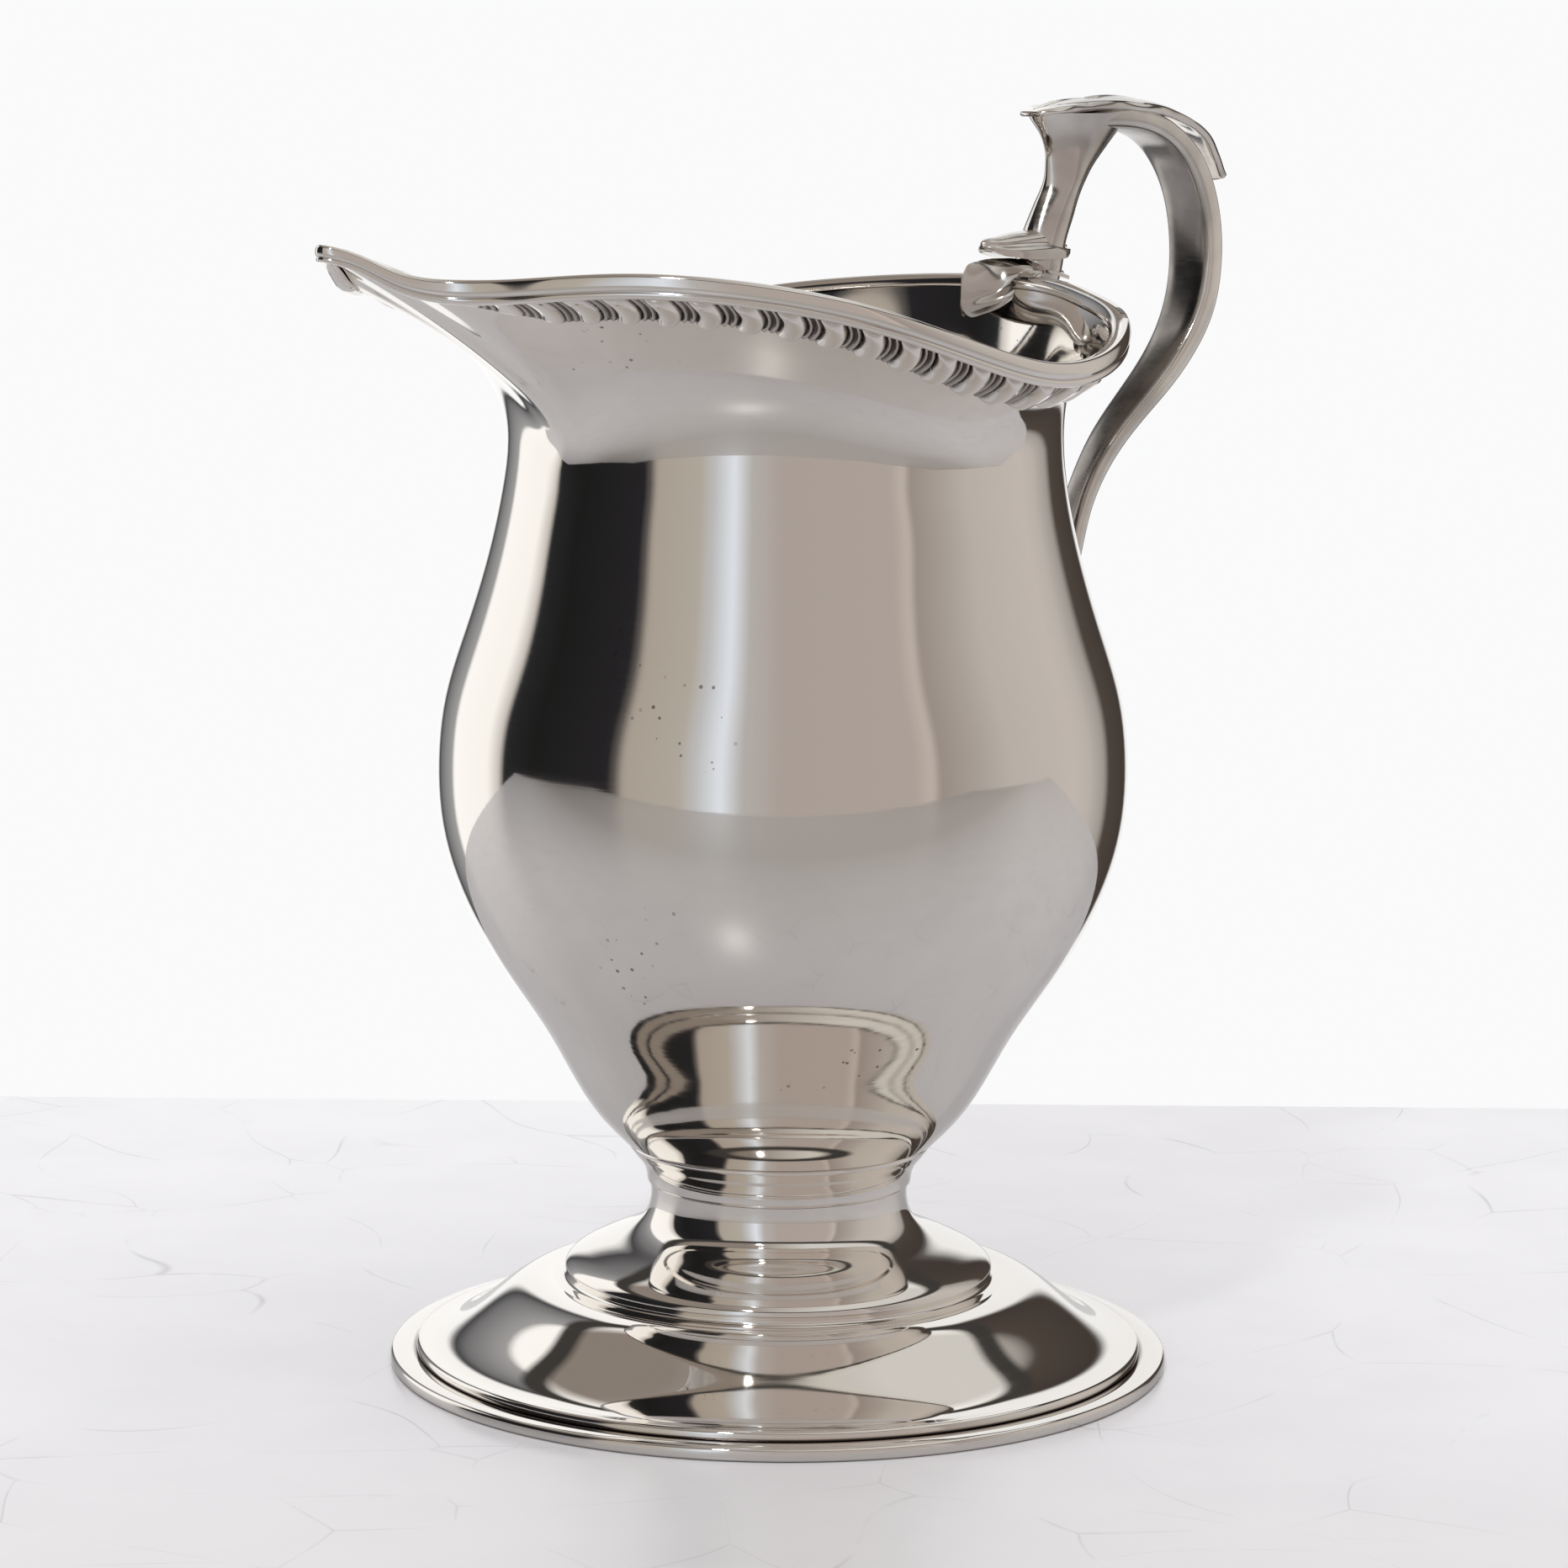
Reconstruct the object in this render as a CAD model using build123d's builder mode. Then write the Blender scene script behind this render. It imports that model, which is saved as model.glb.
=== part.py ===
"""Silver cream jug: a raised bowl with a pulled spout on a spun foot, with a cast loop handle.

Frame: millimetres, +Z up, origin on the bowl's axis at the underside of the foot. The spout points
along -X and the handle along +X, and the jug is symmetric about the plane Y = 0.
"""

from build123d import *
import math
import os

# Foot
PLATE_R = 34.5
PLATE_H = 1.15
FLANGE_R = 32.2
FLANGE_TOP = 1.85
TIER_R = 19.0
TIER_TOP = 9.3
TIER_BOTTOM = 7.3
COLLAR_BOTTOM = 16.0
COLLAR_TOP = 19.9
SHEET = 0.9
HOLLOW_R = 30.0

# Bowl
WALL = 0.9
NECK_R = 24.25
NECK_Z = 82.0
NECK_STEP = 0.05
BELLY_R = 30.3
BELLY_Z = 53.0
FLOOR_R = 13.9
FLOOR_Z = 19.9

# Rim stations: degrees round from the spout, reach from the axis, height, how late the wall flares
RIM = [
    (-10, 45.6, 97.3, 1.8),
    (0, 50.0, 99.7, 1.5),
    (10, 45.6, 97.3, 1.8),
    (20, 42.6, 97.0, 2.1),
    (40, 39.8, 97.8, 2.3),
    (60, 36.8, 95.5, 2.1),
    (80, 34.7, 91.7, 1.9),
    (90, 34.3, 90.4, 1.9),
    (100, 33.8, 90.6, 1.9),
    (120, 31.0, 93.2, 2.0),
    (140, 27.4, 94.8, 2.2),
    (160, 26.3, 95.5, 2.2),
    (180, 26.3, 95.7, 2.2),
    (200, 26.3, 95.5, 2.2),
]
LIP_INSET = 0.9
LIP_DROP = 1.3

# Applied borders
WIRE_WIDTH = 2.0
WIRE_H = 2.1
GADROON_DEPTH = 3.4
GADROON_T = 0.9
SOLDER_GAP = 0.03

# Handle
STRAP_TOP_HALF = 2.85
STRAP_END_HALF = 1.6
STEM_HALF = 1.9
LEAF_HALF = 3.2
PAD_R = 3.0
PAD_Z = 63.8

ANGLE_STEPS = 64
FLARE_STEPS = 12


def smooth_at(stations, x, column):
    """Value of one column at x, as a smooth curve through the stations."""
    k = max(i for i in range(1, len(stations) - 2) if stations[i][0] <= x or i == 1)
    before, here, there, after = stations[k - 1 : k + 3]
    span = there[0] - here[0]
    slope_here = (there[column] - before[column]) / (there[0] - before[0]) * span
    slope_there = (after[column] - here[column]) / (after[0] - here[0]) * span
    t = (x - here[0]) / span
    return (
        (2 * t**3 - 3 * t**2 + 1) * here[column]
        + (t**3 - 2 * t**2 + t) * slope_here
        + (3 * t**2 - 2 * t**3) * there[column]
        + (t**3 - t**2) * slope_there
    )


def rim_at(angle, column):
    """Rim value at an angle in degrees from the spout."""
    return smooth_at(RIM, abs((angle + 180) % 360 - 180), column)


def polar(angle, reach, height):
    """Point at an angle in degrees from the spout."""
    a = math.radians(angle)
    return Vector(-reach * math.cos(a), -reach * math.sin(a), height)


def flare_point(angle, share, out=0.0):
    """Point on or just outside the flaring upper wall, share 0 at the neck and 1 at the lip."""
    lip_r = rim_at(angle, 1) - LIP_INSET
    lip_z = rim_at(angle, 2) - LIP_DROP
    start = NECK_R + NECK_STEP
    reach = start + (lip_r - start) * max(share, 0.0) ** rim_at(angle, 3)
    return polar(angle, reach + out, NECK_Z + (lip_z - NECK_Z) * share)


def slope_length(angle):
    """Length of the upper half of the flare, measured down the slope."""
    points = [flare_point(angle, 0.5 + 0.05 * i) for i in range(11)]
    return sum((q - p).length for p, q in zip(points, points[1:]))


def half_turn():
    """Angles for one half of the jug, running a little past the plane Y = 0 at both ends."""
    return [-6 + 192 * i / ANGLE_STEPS for i in range(ANGLE_STEPS + 1)]


def smooth_face(grid):
    """Smooth face through a grid of points."""
    return Face.make_surface_from_array_of_points(grid, tol=0.01, smoothing=None, min_deg=3, max_deg=5)


def flare_face():
    """Outside face of one half of the flaring upper wall."""
    shares = [-0.04 + 1.04 * j / FLARE_STEPS for j in range(FLARE_STEPS + 1)]
    return smooth_face([[flare_point(a, s) for s in shares] for a in half_turn()])


def border_face():
    """Outside face of the wall under one half of the gadroon border."""
    grid = []
    for a in half_turn():
        high = 1 - (WIRE_H - LIP_DROP + SOLDER_GAP) / (rim_at(a, 2) - LIP_DROP - NECK_Z)
        low = high - 0.5 * GADROON_DEPTH / slope_length(a)
        grid.append([flare_point(a, low + (high - low) * j / 4, SOLDER_GAP) for j in range(5)])
    return smooth_face(grid)


def rim_ribbon():
    """Flat ribbon along one half of the rim's top line, as wide as the rim wire."""
    grid = []
    for a in half_turn():
        grid.append([polar(a, rim_at(a, 1) - WIRE_WIDTH * j / 3, rim_at(a, 2)) for j in range(4)])
    return smooth_face(grid)


os.makedirs("parts", exist_ok=True)

# Foot plate: flat turned ring that the foot stands on, open in the middle
with BuildPart() as foot_plate:
    with BuildSketch(Plane.XZ):
        with BuildLine():
            Polyline(
                (HOLLOW_R, 0),
                (PLATE_R - 0.15, 0),
                (PLATE_R, 0.15),
                (PLATE_R, PLATE_H - 0.25),
                (PLATE_R - 0.25, PLATE_H),
                (HOLLOW_R, PLATE_H),
                close=True,
            )
        make_face()
    revolve(axis=Axis.Z)
foot_plate.part.label = "foot_plate"

# Foot dome: spun sheet with a flat flange, a full bulge and a shoulder under the tier
with BuildPart() as foot_dome:
    with BuildSketch(Plane.XZ):
        with BuildLine():
            Line((FLANGE_R, PLATE_H), (FLANGE_R, FLANGE_TOP - 0.15))
            Line((FLANGE_R, FLANGE_TOP - 0.15), (FLANGE_R - 0.15, FLANGE_TOP))
            Spline(
                (FLANGE_R - 0.15, FLANGE_TOP),
                (29.4, 2.3),
                (27.0, 3.7),
                (24.6, 5.8),
                (21.8, 7.1),
                (18.6, TIER_BOTTOM),
                tangents=[(-1, 0), (-1, 0)],
            )
            Line((18.6, TIER_BOTTOM), (17.0, TIER_BOTTOM))
            Line((17.0, TIER_BOTTOM), (17.0, TIER_BOTTOM - SHEET))
            Line((17.0, TIER_BOTTOM - SHEET), (18.6, TIER_BOTTOM - SHEET))
            Spline(
                (18.6, TIER_BOTTOM - SHEET),
                (21.5, 6.1),
                (24.0, 4.9),
                (26.5, 2.8),
                (29.0, 1.3),
                (30.6, PLATE_H),
                tangents=[(1, 0), (1, 0)],
            )
            Line((30.6, PLATE_H), (FLANGE_R, PLATE_H))
        make_face()
    revolve(axis=Axis.Z)
foot_dome.part.label = "foot_dome"

# Foot stem: spun trumpet that spreads into the rounded upper tier
with BuildPart() as foot_stem:
    with BuildSketch(Plane.XZ):
        with BuildLine():
            Spline(
                (11.35, COLLAR_BOTTOM),
                (11.6, 13.9),
                (13.2, 11.6),
                (15.6, 10.3),
                (TIER_R - 0.9, TIER_TOP),
                tangents=[(0, -1), (1, -0.35)],
            )
            ThreePointArc(
                (TIER_R - 0.9, TIER_TOP),
                (TIER_R, (TIER_TOP + TIER_BOTTOM) / 2 + 0.1),
                (TIER_R - 0.5, TIER_BOTTOM),
            )
            Line((TIER_R - 0.5, TIER_BOTTOM), (16.4, TIER_BOTTOM))
            Spline(
                (16.4, TIER_BOTTOM),
                (14.6, 9.7),
                (12.4, 11.1),
                (10.7, 13.6),
                (10.45, COLLAR_BOTTOM),
                tangents=[(-0.2, 1), (0, 1)],
            )
            Line((10.45, COLLAR_BOTTOM), (11.35, COLLAR_BOTTOM))
        make_face()
    revolve(axis=Axis.Z)
foot_stem.part.label = "foot_stem"

# Foot collar: turned ring with a small lip, soldered between the bowl and the stem
with BuildPart() as foot_collar:
    with BuildSketch(Plane.XZ):
        with BuildLine():
            Line((10.45, COLLAR_BOTTOM), (11.5, COLLAR_BOTTOM))
            Spline(
                (11.5, COLLAR_BOTTOM),
                (11.85, 17.6),
                (12.75, 19.0),
                tangents=[(0, 1), (1, 0.9)],
            )
            ThreePointArc((12.75, 19.0), (13.25, 19.4), (12.95, COLLAR_TOP))
            Line((12.95, COLLAR_TOP), (10.45, COLLAR_TOP))
            Line((10.45, COLLAR_TOP), (10.45, COLLAR_BOTTOM))
        make_face()
    revolve(axis=Axis.Z)
foot_collar.part.label = "foot_collar"

# Bowl: raised sheet, turned up to the neck, then flared out and pulled into the spout
with BuildPart() as body:
    add(Solid.thicken(flare_face(), -WALL))
    split(bisect_by=Plane.XZ, keep=Keep.TOP)
    split(bisect_by=Plane.XY.offset(NECK_Z), keep=Keep.TOP)
    mirror(about=Plane.XZ)
    with BuildSketch(Plane.XZ):
        with BuildLine():
            Line((0, FLOOR_Z), (FLOOR_R - 0.2, FLOOR_Z))
            Spline(
                (FLOOR_R - 0.2, FLOOR_Z),
                (17.3, 24.0),
                (22.1, 32.0),
                (27.15, 40.0),
                (29.9, 48.0),
                (BELLY_R, BELLY_Z),
                (29.06, 62.0),
                (26.34, 70.0),
                (24.7, 77.4),
                (NECK_R, NECK_Z),
            )
            Line((NECK_R, NECK_Z), (NECK_R - WALL, NECK_Z))
            Spline(
                (NECK_R - WALL, NECK_Z),
                (24.7 - WALL, 77.4),
                (26.34 - WALL, 70.0),
                (29.06 - WALL, 62.0),
                (BELLY_R - WALL, BELLY_Z),
                (29.0, 48.2),
                (26.35, 40.5),
                (21.35, 32.6),
                (16.5, 24.8),
                (12.2, FLOOR_Z + 1.0),
            )
            Line((12.2, FLOOR_Z + 1.0), (0, FLOOR_Z + 1.0))
            Line((0, FLOOR_Z + 1.0), (0, FLOOR_Z))
        make_face()
    revolve(axis=Axis.Z)
body.part.label = "body"

# Rim wire: half-round moulding that caps the lip all the way round
with BuildPart() as rim_moulding:
    extrude(rim_ribbon(), amount=WIRE_H, dir=(0, 0, -1))
    split(bisect_by=Plane.XZ, keep=Keep.TOP)
    mirror(about=Plane.XZ)
    add(body.part, mode=Mode.SUBTRACT)
rim_moulding.part.label = "rim_moulding"

# Gadroon borders: one applied strip under the rim on each side, meeting at the spout and the handle
with BuildPart() as gadroon_border_near:
    add(Solid.thicken(border_face(), GADROON_T))
    split(bisect_by=Plane.XZ, keep=Keep.TOP)
gadroon_border_near.part.label = "gadroon_border_near"

with BuildPart() as gadroon_border_far:
    mirror(gadroon_border_near.part, about=Plane.XZ)
gadroon_border_far.part.label = "gadroon_border_far"

# Handle strap: cast loop from under the leaf, out and down to the pad on the bowl
with BuildPart() as handle_strap:
    with BuildSketch(Plane.XZ):
        with BuildLine():
            outer = Spline(
                (36.6, 110.5),
                (42.0, 110.4),
                (46.2, 109.0),
                (48.6, 106.2),
                (50.1, 101.6),
                (50.5, 97.0),
                (49.6, 91.6),
                (46.9, 87.0),
                (43.4, 83.2),
                (39.6, 80.0),
                (36.8, 76.6),
                (35.2, 72.6),
                (34.4, 68.6),
                (32.6, 65.0),
                (29.6, 62.4),
            )
            inner = Spline(
                (28.6, 65.0),
                (31.0, 66.8),
                (32.5, 69.6),
                (33.3, 73.2),
                (35.0, 77.2),
                (37.9, 81.0),
                (41.6, 84.4),
                (45.0, 88.2),
                (47.5, 92.6),
                (48.2, 97.0),
                (47.3, 101.6),
                (45.3, 105.4),
                (41.4, 107.6),
                (36.6, 108.4),
            )
            Line(outer @ 1, inner @ 0)
            Line(inner @ 1, outer @ 0)
        make_face()
    extrude(amount=STRAP_TOP_HALF, both=True)
    with BuildSketch(Plane.YZ):
        with BuildLine():
            side = Spline(
                (STRAP_TOP_HALF, 112.0),
                (STRAP_TOP_HALF, 98.0),
                (2.3, 82.0),
                (STRAP_END_HALF, 76.0),
                (STRAP_END_HALF, 60.0),
            )
            Line(side @ 1, (0, 60.0))
            Line((0, 60.0), (0, 112.0))
            Line((0, 112.0), side @ 0)
        make_face()
        mirror(about=Plane.YZ)
    extrude(amount=60, mode=Mode.INTERSECT)
    add(body.part, mode=Mode.SUBTRACT)
handle_strap.part.label = "handle_strap"

# Handle pad: small round pad between the strap's lower end and the bowl
with BuildPart() as handle_pad:
    with BuildSketch(Plane.YZ.offset(24.0)):
        with Locations((0, PAD_Z)):
            Circle(PAD_R)
    extrude(amount=6.3)
    with Locations((0, 0, 64.0)):
        Cone(29.1, 26.7, 8.0, mode=Mode.SUBTRACT)
    add(body.part, mode=Mode.SUBTRACT)
    add(handle_strap.part, mode=Mode.SUBTRACT)
handle_pad.part.label = "handle_pad"

# Leaf: cast acanthus leaf lying on the top of the strap, its tip standing proud
with BuildPart() as leaf_cap:
    with BuildSketch(Plane.XZ):
        with BuildLine():
            top = Spline(
                (29.0, 110.2),
                (34.1, 111.4),
                (40.0, 111.5),
                (45.2, 110.6),
                (48.4, 108.7),
                (50.4, 105.8),
                (50.6, 104.2),
            )
            under = Spline(
                (49.5, 104.4),
                (48.9, 106.4),
                (46.6, 109.0),
                (42.0, 110.5),
                (36.6, 110.6),
                (31.0, 109.9),
            )
            Line(top @ 1, under @ 0)
            Line(under @ 1, top @ 0)
        make_face()
    extrude(amount=LEAF_HALF, both=True)
    with BuildSketch(Plane.XY.offset(100.0)):
        with BuildLine():
            edge = Spline(
                (28.9, 0.0),
                (29.6, 1.9),
                (33.0, 2.4),
                (37.5, 3.1),
                (43.0, LEAF_HALF),
                (47.0, 2.6),
                (49.6, 1.5),
                (50.65, 0.0),
            )
            Line(edge @ 1, edge @ 0)
        make_face()
        mirror(about=Plane.XZ)
    extrude(amount=15, mode=Mode.INTERSECT)
    add(handle_strap.part, mode=Mode.SUBTRACT)
leaf_cap.part.label = "leaf_cap"

# Stem: upright that stands on the rim and spreads under the leaf into a thumb-piece and the strap
with BuildPart() as handle_stem:
    with BuildSketch(Plane.XZ):
        with BuildLine():
            front = Spline(
                (28.6, 94.0),
                (28.4, 97.6),
                (29.2, 100.4),
                (30.4, 102.9),
                (30.9, 105.0),
                (30.3, 107.2),
                (29.0, 109.3),
            )
            back = Spline(
                (36.6, 108.4),
                (35.6, 106.2),
                (34.8, 103.9),
                (33.6, 101.3),
                (32.4, 99.0),
                (31.8, 96.6),
                (31.0, 94.0),
            )
            Line(front @ 1, (31.0, 109.9))
            Line((31.0, 109.9), (36.6, 110.5))
            Line((36.6, 110.5), back @ 0)
            Line(back @ 1, front @ 0)
        make_face()
    extrude(amount=STEM_HALF, both=True)
    add(body.part, mode=Mode.SUBTRACT)
    add(rim_moulding.part, mode=Mode.SUBTRACT)
    add(leaf_cap.part, mode=Mode.SUBTRACT)
    add(handle_strap.part, mode=Mode.SUBTRACT)
handle_stem.part.label = "handle_stem"

# Knuckle: petal at the front of the stem, lying over the rim
with BuildPart() as handle_knuckle:
    with BuildSketch(Plane.XZ):
        with BuildLine():
            crown = Spline((22.7, 98.3), (24.6, 99.1), (27.2, 99.4), (30.0, 99.3))
            sole = Spline((30.0, 97.4), (27.2, 97.4), (24.8, 97.5), (22.7, 98.2))
            Line(crown @ 1, sole @ 0)
            Line(sole @ 1, crown @ 0)
        make_face()
    extrude(amount=2.6, both=True)
    with BuildSketch(Plane.XY.offset(90.0)):
        with BuildLine():
            edge = Spline((22.6, 0.0), (24.4, 1.7), (27.2, 2.5), (30.0, 2.4))
            Line(edge @ 1, (30.0, 0))
            Line((30.0, 0), edge @ 0)
        make_face()
        mirror(about=Plane.XZ)
    extrude(amount=15, mode=Mode.INTERSECT)
    add(handle_stem.part, mode=Mode.SUBTRACT)
handle_knuckle.part.label = "handle_knuckle"

# Tongue: spade-shaped tab folded over the rim, its point lying inside the lip
with BuildPart() as rim_tongue:
    with BuildSketch(Plane.XZ):
        with BuildLine():
            over = Spline((31.2, 96.2), (28.0, 97.35), (25.0, 97.4), (22.9, 95.6), (21.1, 92.0))
            below = Spline((22.4, 92.6), (23.7, 94.6), (25.6, 95.8), (28.0, 95.8), (31.2, 94.9))
            Line(over @ 1, below @ 0)
            Line(below @ 1, over @ 0)
        make_face()
    extrude(amount=4.8, both=True)
    with BuildSketch(Plane.XY.offset(90.0)):
        with BuildLine():
            edge = Spline((20.9, 0.0), (22.4, 2.4), (24.0, 4.6), (25.4, 4.6), (28.0, 2.7), (31.3, 1.9))
            Line(edge @ 1, (31.3, 0))
            Line((31.3, 0), edge @ 0)
        make_face()
        mirror(about=Plane.XZ)
    extrude(amount=15, mode=Mode.INTERSECT)
    add(body.part, mode=Mode.SUBTRACT)
    add(rim_moulding.part, mode=Mode.SUBTRACT)
    add(handle_stem.part, mode=Mode.SUBTRACT)
    add(handle_knuckle.part, mode=Mode.SUBTRACT)
rim_tongue.part.label = "rim_tongue"

pieces = (
    foot_plate,
    foot_dome,
    foot_stem,
    foot_collar,
    body,
    rim_moulding,
    gadroon_border_near,
    gadroon_border_far,
    handle_strap,
    handle_pad,
    leaf_cap,
    handle_stem,
    handle_knuckle,
    rim_tongue,
)
for piece in pieces:
    export_step(piece.part, f"parts/{piece.part.label}.step")
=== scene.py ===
"""A polished sterling silver cream jug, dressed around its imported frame.

Sizes are in millimetres in the classes and become metres where a mesh is made. The jug stands on its
foot at the origin, its spout along -X and its handle along +X, and it is symmetric about Y = 0.
"""

import logging
import math
from dataclasses import dataclass, field
from enum import Enum
from typing import Any

import bmesh
import bpy
import numpy as np
from mathutils import Matrix, Vector


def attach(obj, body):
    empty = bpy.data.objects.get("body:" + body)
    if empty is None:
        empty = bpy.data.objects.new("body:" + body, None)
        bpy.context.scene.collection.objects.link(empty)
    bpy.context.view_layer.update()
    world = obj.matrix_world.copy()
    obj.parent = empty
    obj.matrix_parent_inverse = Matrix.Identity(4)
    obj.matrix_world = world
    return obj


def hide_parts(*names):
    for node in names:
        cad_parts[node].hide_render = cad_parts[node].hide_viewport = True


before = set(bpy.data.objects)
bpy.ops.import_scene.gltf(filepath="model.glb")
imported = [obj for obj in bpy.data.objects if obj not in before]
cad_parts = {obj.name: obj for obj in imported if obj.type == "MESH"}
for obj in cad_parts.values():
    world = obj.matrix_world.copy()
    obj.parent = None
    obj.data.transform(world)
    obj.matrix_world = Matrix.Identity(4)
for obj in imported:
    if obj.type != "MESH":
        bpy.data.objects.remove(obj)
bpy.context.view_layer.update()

LOG = logging.getLogger("cream_jug")
MM = 0.001
FULL_TURN = 2 * math.pi
# How many steps a spun piece's turn is cut into.
SPUN_STEPS = 288
ROOT = "root"
PREFIX = "silver_"


class SilverSlot(Enum):
    """The record's material slots."""

    BOWL = "bowl_silver"
    TRIM = "trim_silver"
    FOOT = "foot_silver"
    HANDLE = "handle_silver"


# ---------------------------------------------------------------- curves and meshes


class SmoothCurve:
    """Cubic curve of even curvature through stations, with natural ends."""

    def __init__(self, at: np.ndarray, values: np.ndarray) -> None:
        """Solves the curve.

        Args:
            at: rising station positions.
            values: one row of values for each station.
        """
        self.at = np.asarray(at, float)
        self.values = np.asarray(values, float).reshape(len(self.at), -1)
        gap = np.diff(self.at)
        count = len(self.at)
        matrix = np.eye(count)
        right = np.zeros_like(self.values)
        for i in range(1, count - 1):
            matrix[i, i - 1 : i + 2] = gap[i - 1], 2 * (gap[i - 1] + gap[i]), gap[i]
            rise = (self.values[i + 1] - self.values[i]) / gap[i]
            fall = (self.values[i] - self.values[i - 1]) / gap[i - 1]
            right[i] = 6 * (rise - fall)
        self.bend = np.linalg.solve(matrix, right)

    def __call__(self, x: np.ndarray) -> np.ndarray:
        """Works out the curve.

        Args:
            x: positions along it.

        Returns:
            One row of values for each position.
        """
        x = np.atleast_1d(np.asarray(x, float))
        i = np.clip(np.searchsorted(self.at, x, side="right") - 1, 0, len(self.at) - 2)
        gap = (self.at[i + 1] - self.at[i])[:, None]
        b = (x - self.at[i])[:, None] / gap
        a = 1 - b
        line = a * self.values[i] + b * self.values[i + 1]
        return line + ((a**3 - a) * self.bend[i] + (b**3 - b) * self.bend[i + 1]) * gap**2 / 6


def along_points(points: np.ndarray) -> np.ndarray:
    """Returns the distance run along a row of points at each of them."""
    steps = np.linalg.norm(np.diff(points, axis=0), axis=1)
    return np.concatenate([[0.0], np.cumsum(steps)])


def smooth_path(stations: tuple[tuple[float, ...], ...], count: int, place: int = 2) -> np.ndarray:
    """Draws a smooth path through stations.

    Args:
        stations: rows whose first values are a place, followed by any other sizes there.
        count: how many rows to return.
        place: how many of the values are the place.

    Returns:
        Evenly spaced rows along the path.
    """
    rows = np.asarray(stations, float)
    run = along_points(rows[:, :place])
    return SmoothCurve(run, rows)(np.linspace(0, run[-1], count))


def shell_mesh(
    name: str,
    rings: list[np.ndarray],
    joined: bool = False,
    first: np.ndarray | None = None,
    last: np.ndarray | None = None,
    marks: dict[str, np.ndarray] | None = None,
    crease_deg: float = 40.0,
) -> bpy.types.Object:
    """Makes a closed piece from rings of points.

    Args:
        name: the piece's name.
        rings: rings with the same number of points, in millimetres.
        joined: whether the last ring joins the first, as round a bead.
        first: a point that closes the first ring.
        last: a point that closes the last ring.
        marks: named values, one for each ring's points, kept as mesh attributes.
        crease_deg: edges sharper than this are shaded as edges.

    Returns:
        The finished object, at the origin.
    """
    count = len(rings[0])
    points = np.concatenate(rings)
    faces = []
    rows = len(rings)
    for j in range(rows if joined else rows - 1):
        low, high = j * count, ((j + 1) % rows) * count
        for i in range(count):
            k = (i + 1) % count
            faces.append((low + i, low + k, high + k, high + i))
    poles = []
    for point, row in ((first, 0), (last, rows - 1)):
        if point is None:
            continue
        poles.append(point)
        tip = len(points) + len(poles) - 1
        start = row * count
        faces += [(start + i, start + (i + 1) % count, tip) for i in range(count)]
    if poles:
        points = np.concatenate([points, np.array(poles)])
    mesh = bpy.data.meshes.new(name)
    mesh.from_pydata((points * MM).tolist(), [], faces)
    for label, values in (marks or {}).items():
        layer = mesh.attributes.new(label, "FLOAT", "POINT")
        spread = np.zeros(len(points))
        spread[: values.size] = values.ravel()
        layer.data.foreach_set("value", spread)
    return finish_mesh(name, mesh, crease_deg)


def end_points(rings: list[np.ndarray]) -> dict[str, np.ndarray]:
    """Returns the middles of the first and last rings, which close them."""
    return {"first": rings[0].mean(axis=0), "last": rings[-1].mean(axis=0)}


def finish_mesh(name: str, mesh: bpy.types.Mesh, crease_deg: float = 40.0) -> bpy.types.Object:
    """Points a mesh's faces outwards, shades it smooth and puts it in the scene.

    Args:
        name: the piece's name.
        mesh: a closed mesh.
        crease_deg: edges sharper than this are shaded as edges.

    Returns:
        The new object.
    """
    work = bmesh.new()
    work.from_mesh(mesh)
    bmesh.ops.recalc_face_normals(work, faces=work.faces)
    work.to_mesh(mesh)
    work.free()
    mesh.shade_smooth()
    mesh.set_sharp_from_angle(angle=math.radians(crease_deg))
    piece = bpy.data.objects.new(PREFIX + name, mesh)
    bpy.context.scene.collection.objects.link(piece)
    return piece


def turned_piece(
    name: str, outline: np.ndarray, dark: np.ndarray | None = None, crease_deg: float = 60.0
) -> bpy.types.Object:
    """Turns a closed outline round the jug's axis.

    Args:
        name: the piece's name.
        outline: radius and height of each point, in order round the section.
        dark: how tarnished the metal is at each point, from 0 to 1.
        crease_deg: edges sharper than this are shaded as edges.

    Returns:
        The turned piece.
    """
    turn = np.linspace(0, FULL_TURN, SPUN_STEPS, endpoint=False)
    rings = [
        np.column_stack([r * np.cos(turn), r * np.sin(turn), np.full(SPUN_STEPS, z)]) for r, z in outline
    ]
    marks = None if dark is None else {"tarnish": np.repeat(dark[:, None], SPUN_STEPS, axis=1)}
    return shell_mesh(name, rings, joined=True, marks=marks, crease_deg=crease_deg)


def soft_line(values: np.ndarray, place: float, width: float) -> np.ndarray:
    """Returns 1 where values meet a place, falling to 0 over a width either side."""
    return np.exp(-(((values - place) / width) ** 2))


def put_on(piece: bpy.types.Object, finish: bpy.types.Material) -> bpy.types.Object:
    """Dresses a piece and rides it on the jug in place of the CAD node that it is named after.

    Args:
        piece: the finished piece, named after its node with PREFIX before it.
        finish: the material of the piece.

    Returns:
        The same piece.
    """
    piece.data.materials.clear()
    piece.data.materials.append(finish)
    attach(piece, ROOT)
    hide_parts(piece.name.removeprefix(PREFIX))
    LOG.info("%s: %d faces", piece.name, len(piece.data.polygons))
    return piece


# ---------------------------------------------------------------- finishes


def linear(hex_colour: str) -> tuple[float, float, float, float]:
    """Turns an sRGB hex colour into linear red, green, blue and alpha."""
    parts = [int(hex_colour[i : i + 2], 16) / 255 for i in (1, 3, 5)]
    return (*(p / 12.92 if p <= 0.04045 else ((p + 0.055) / 1.055) ** 2.4 for p in parts), 1.0)


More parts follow.
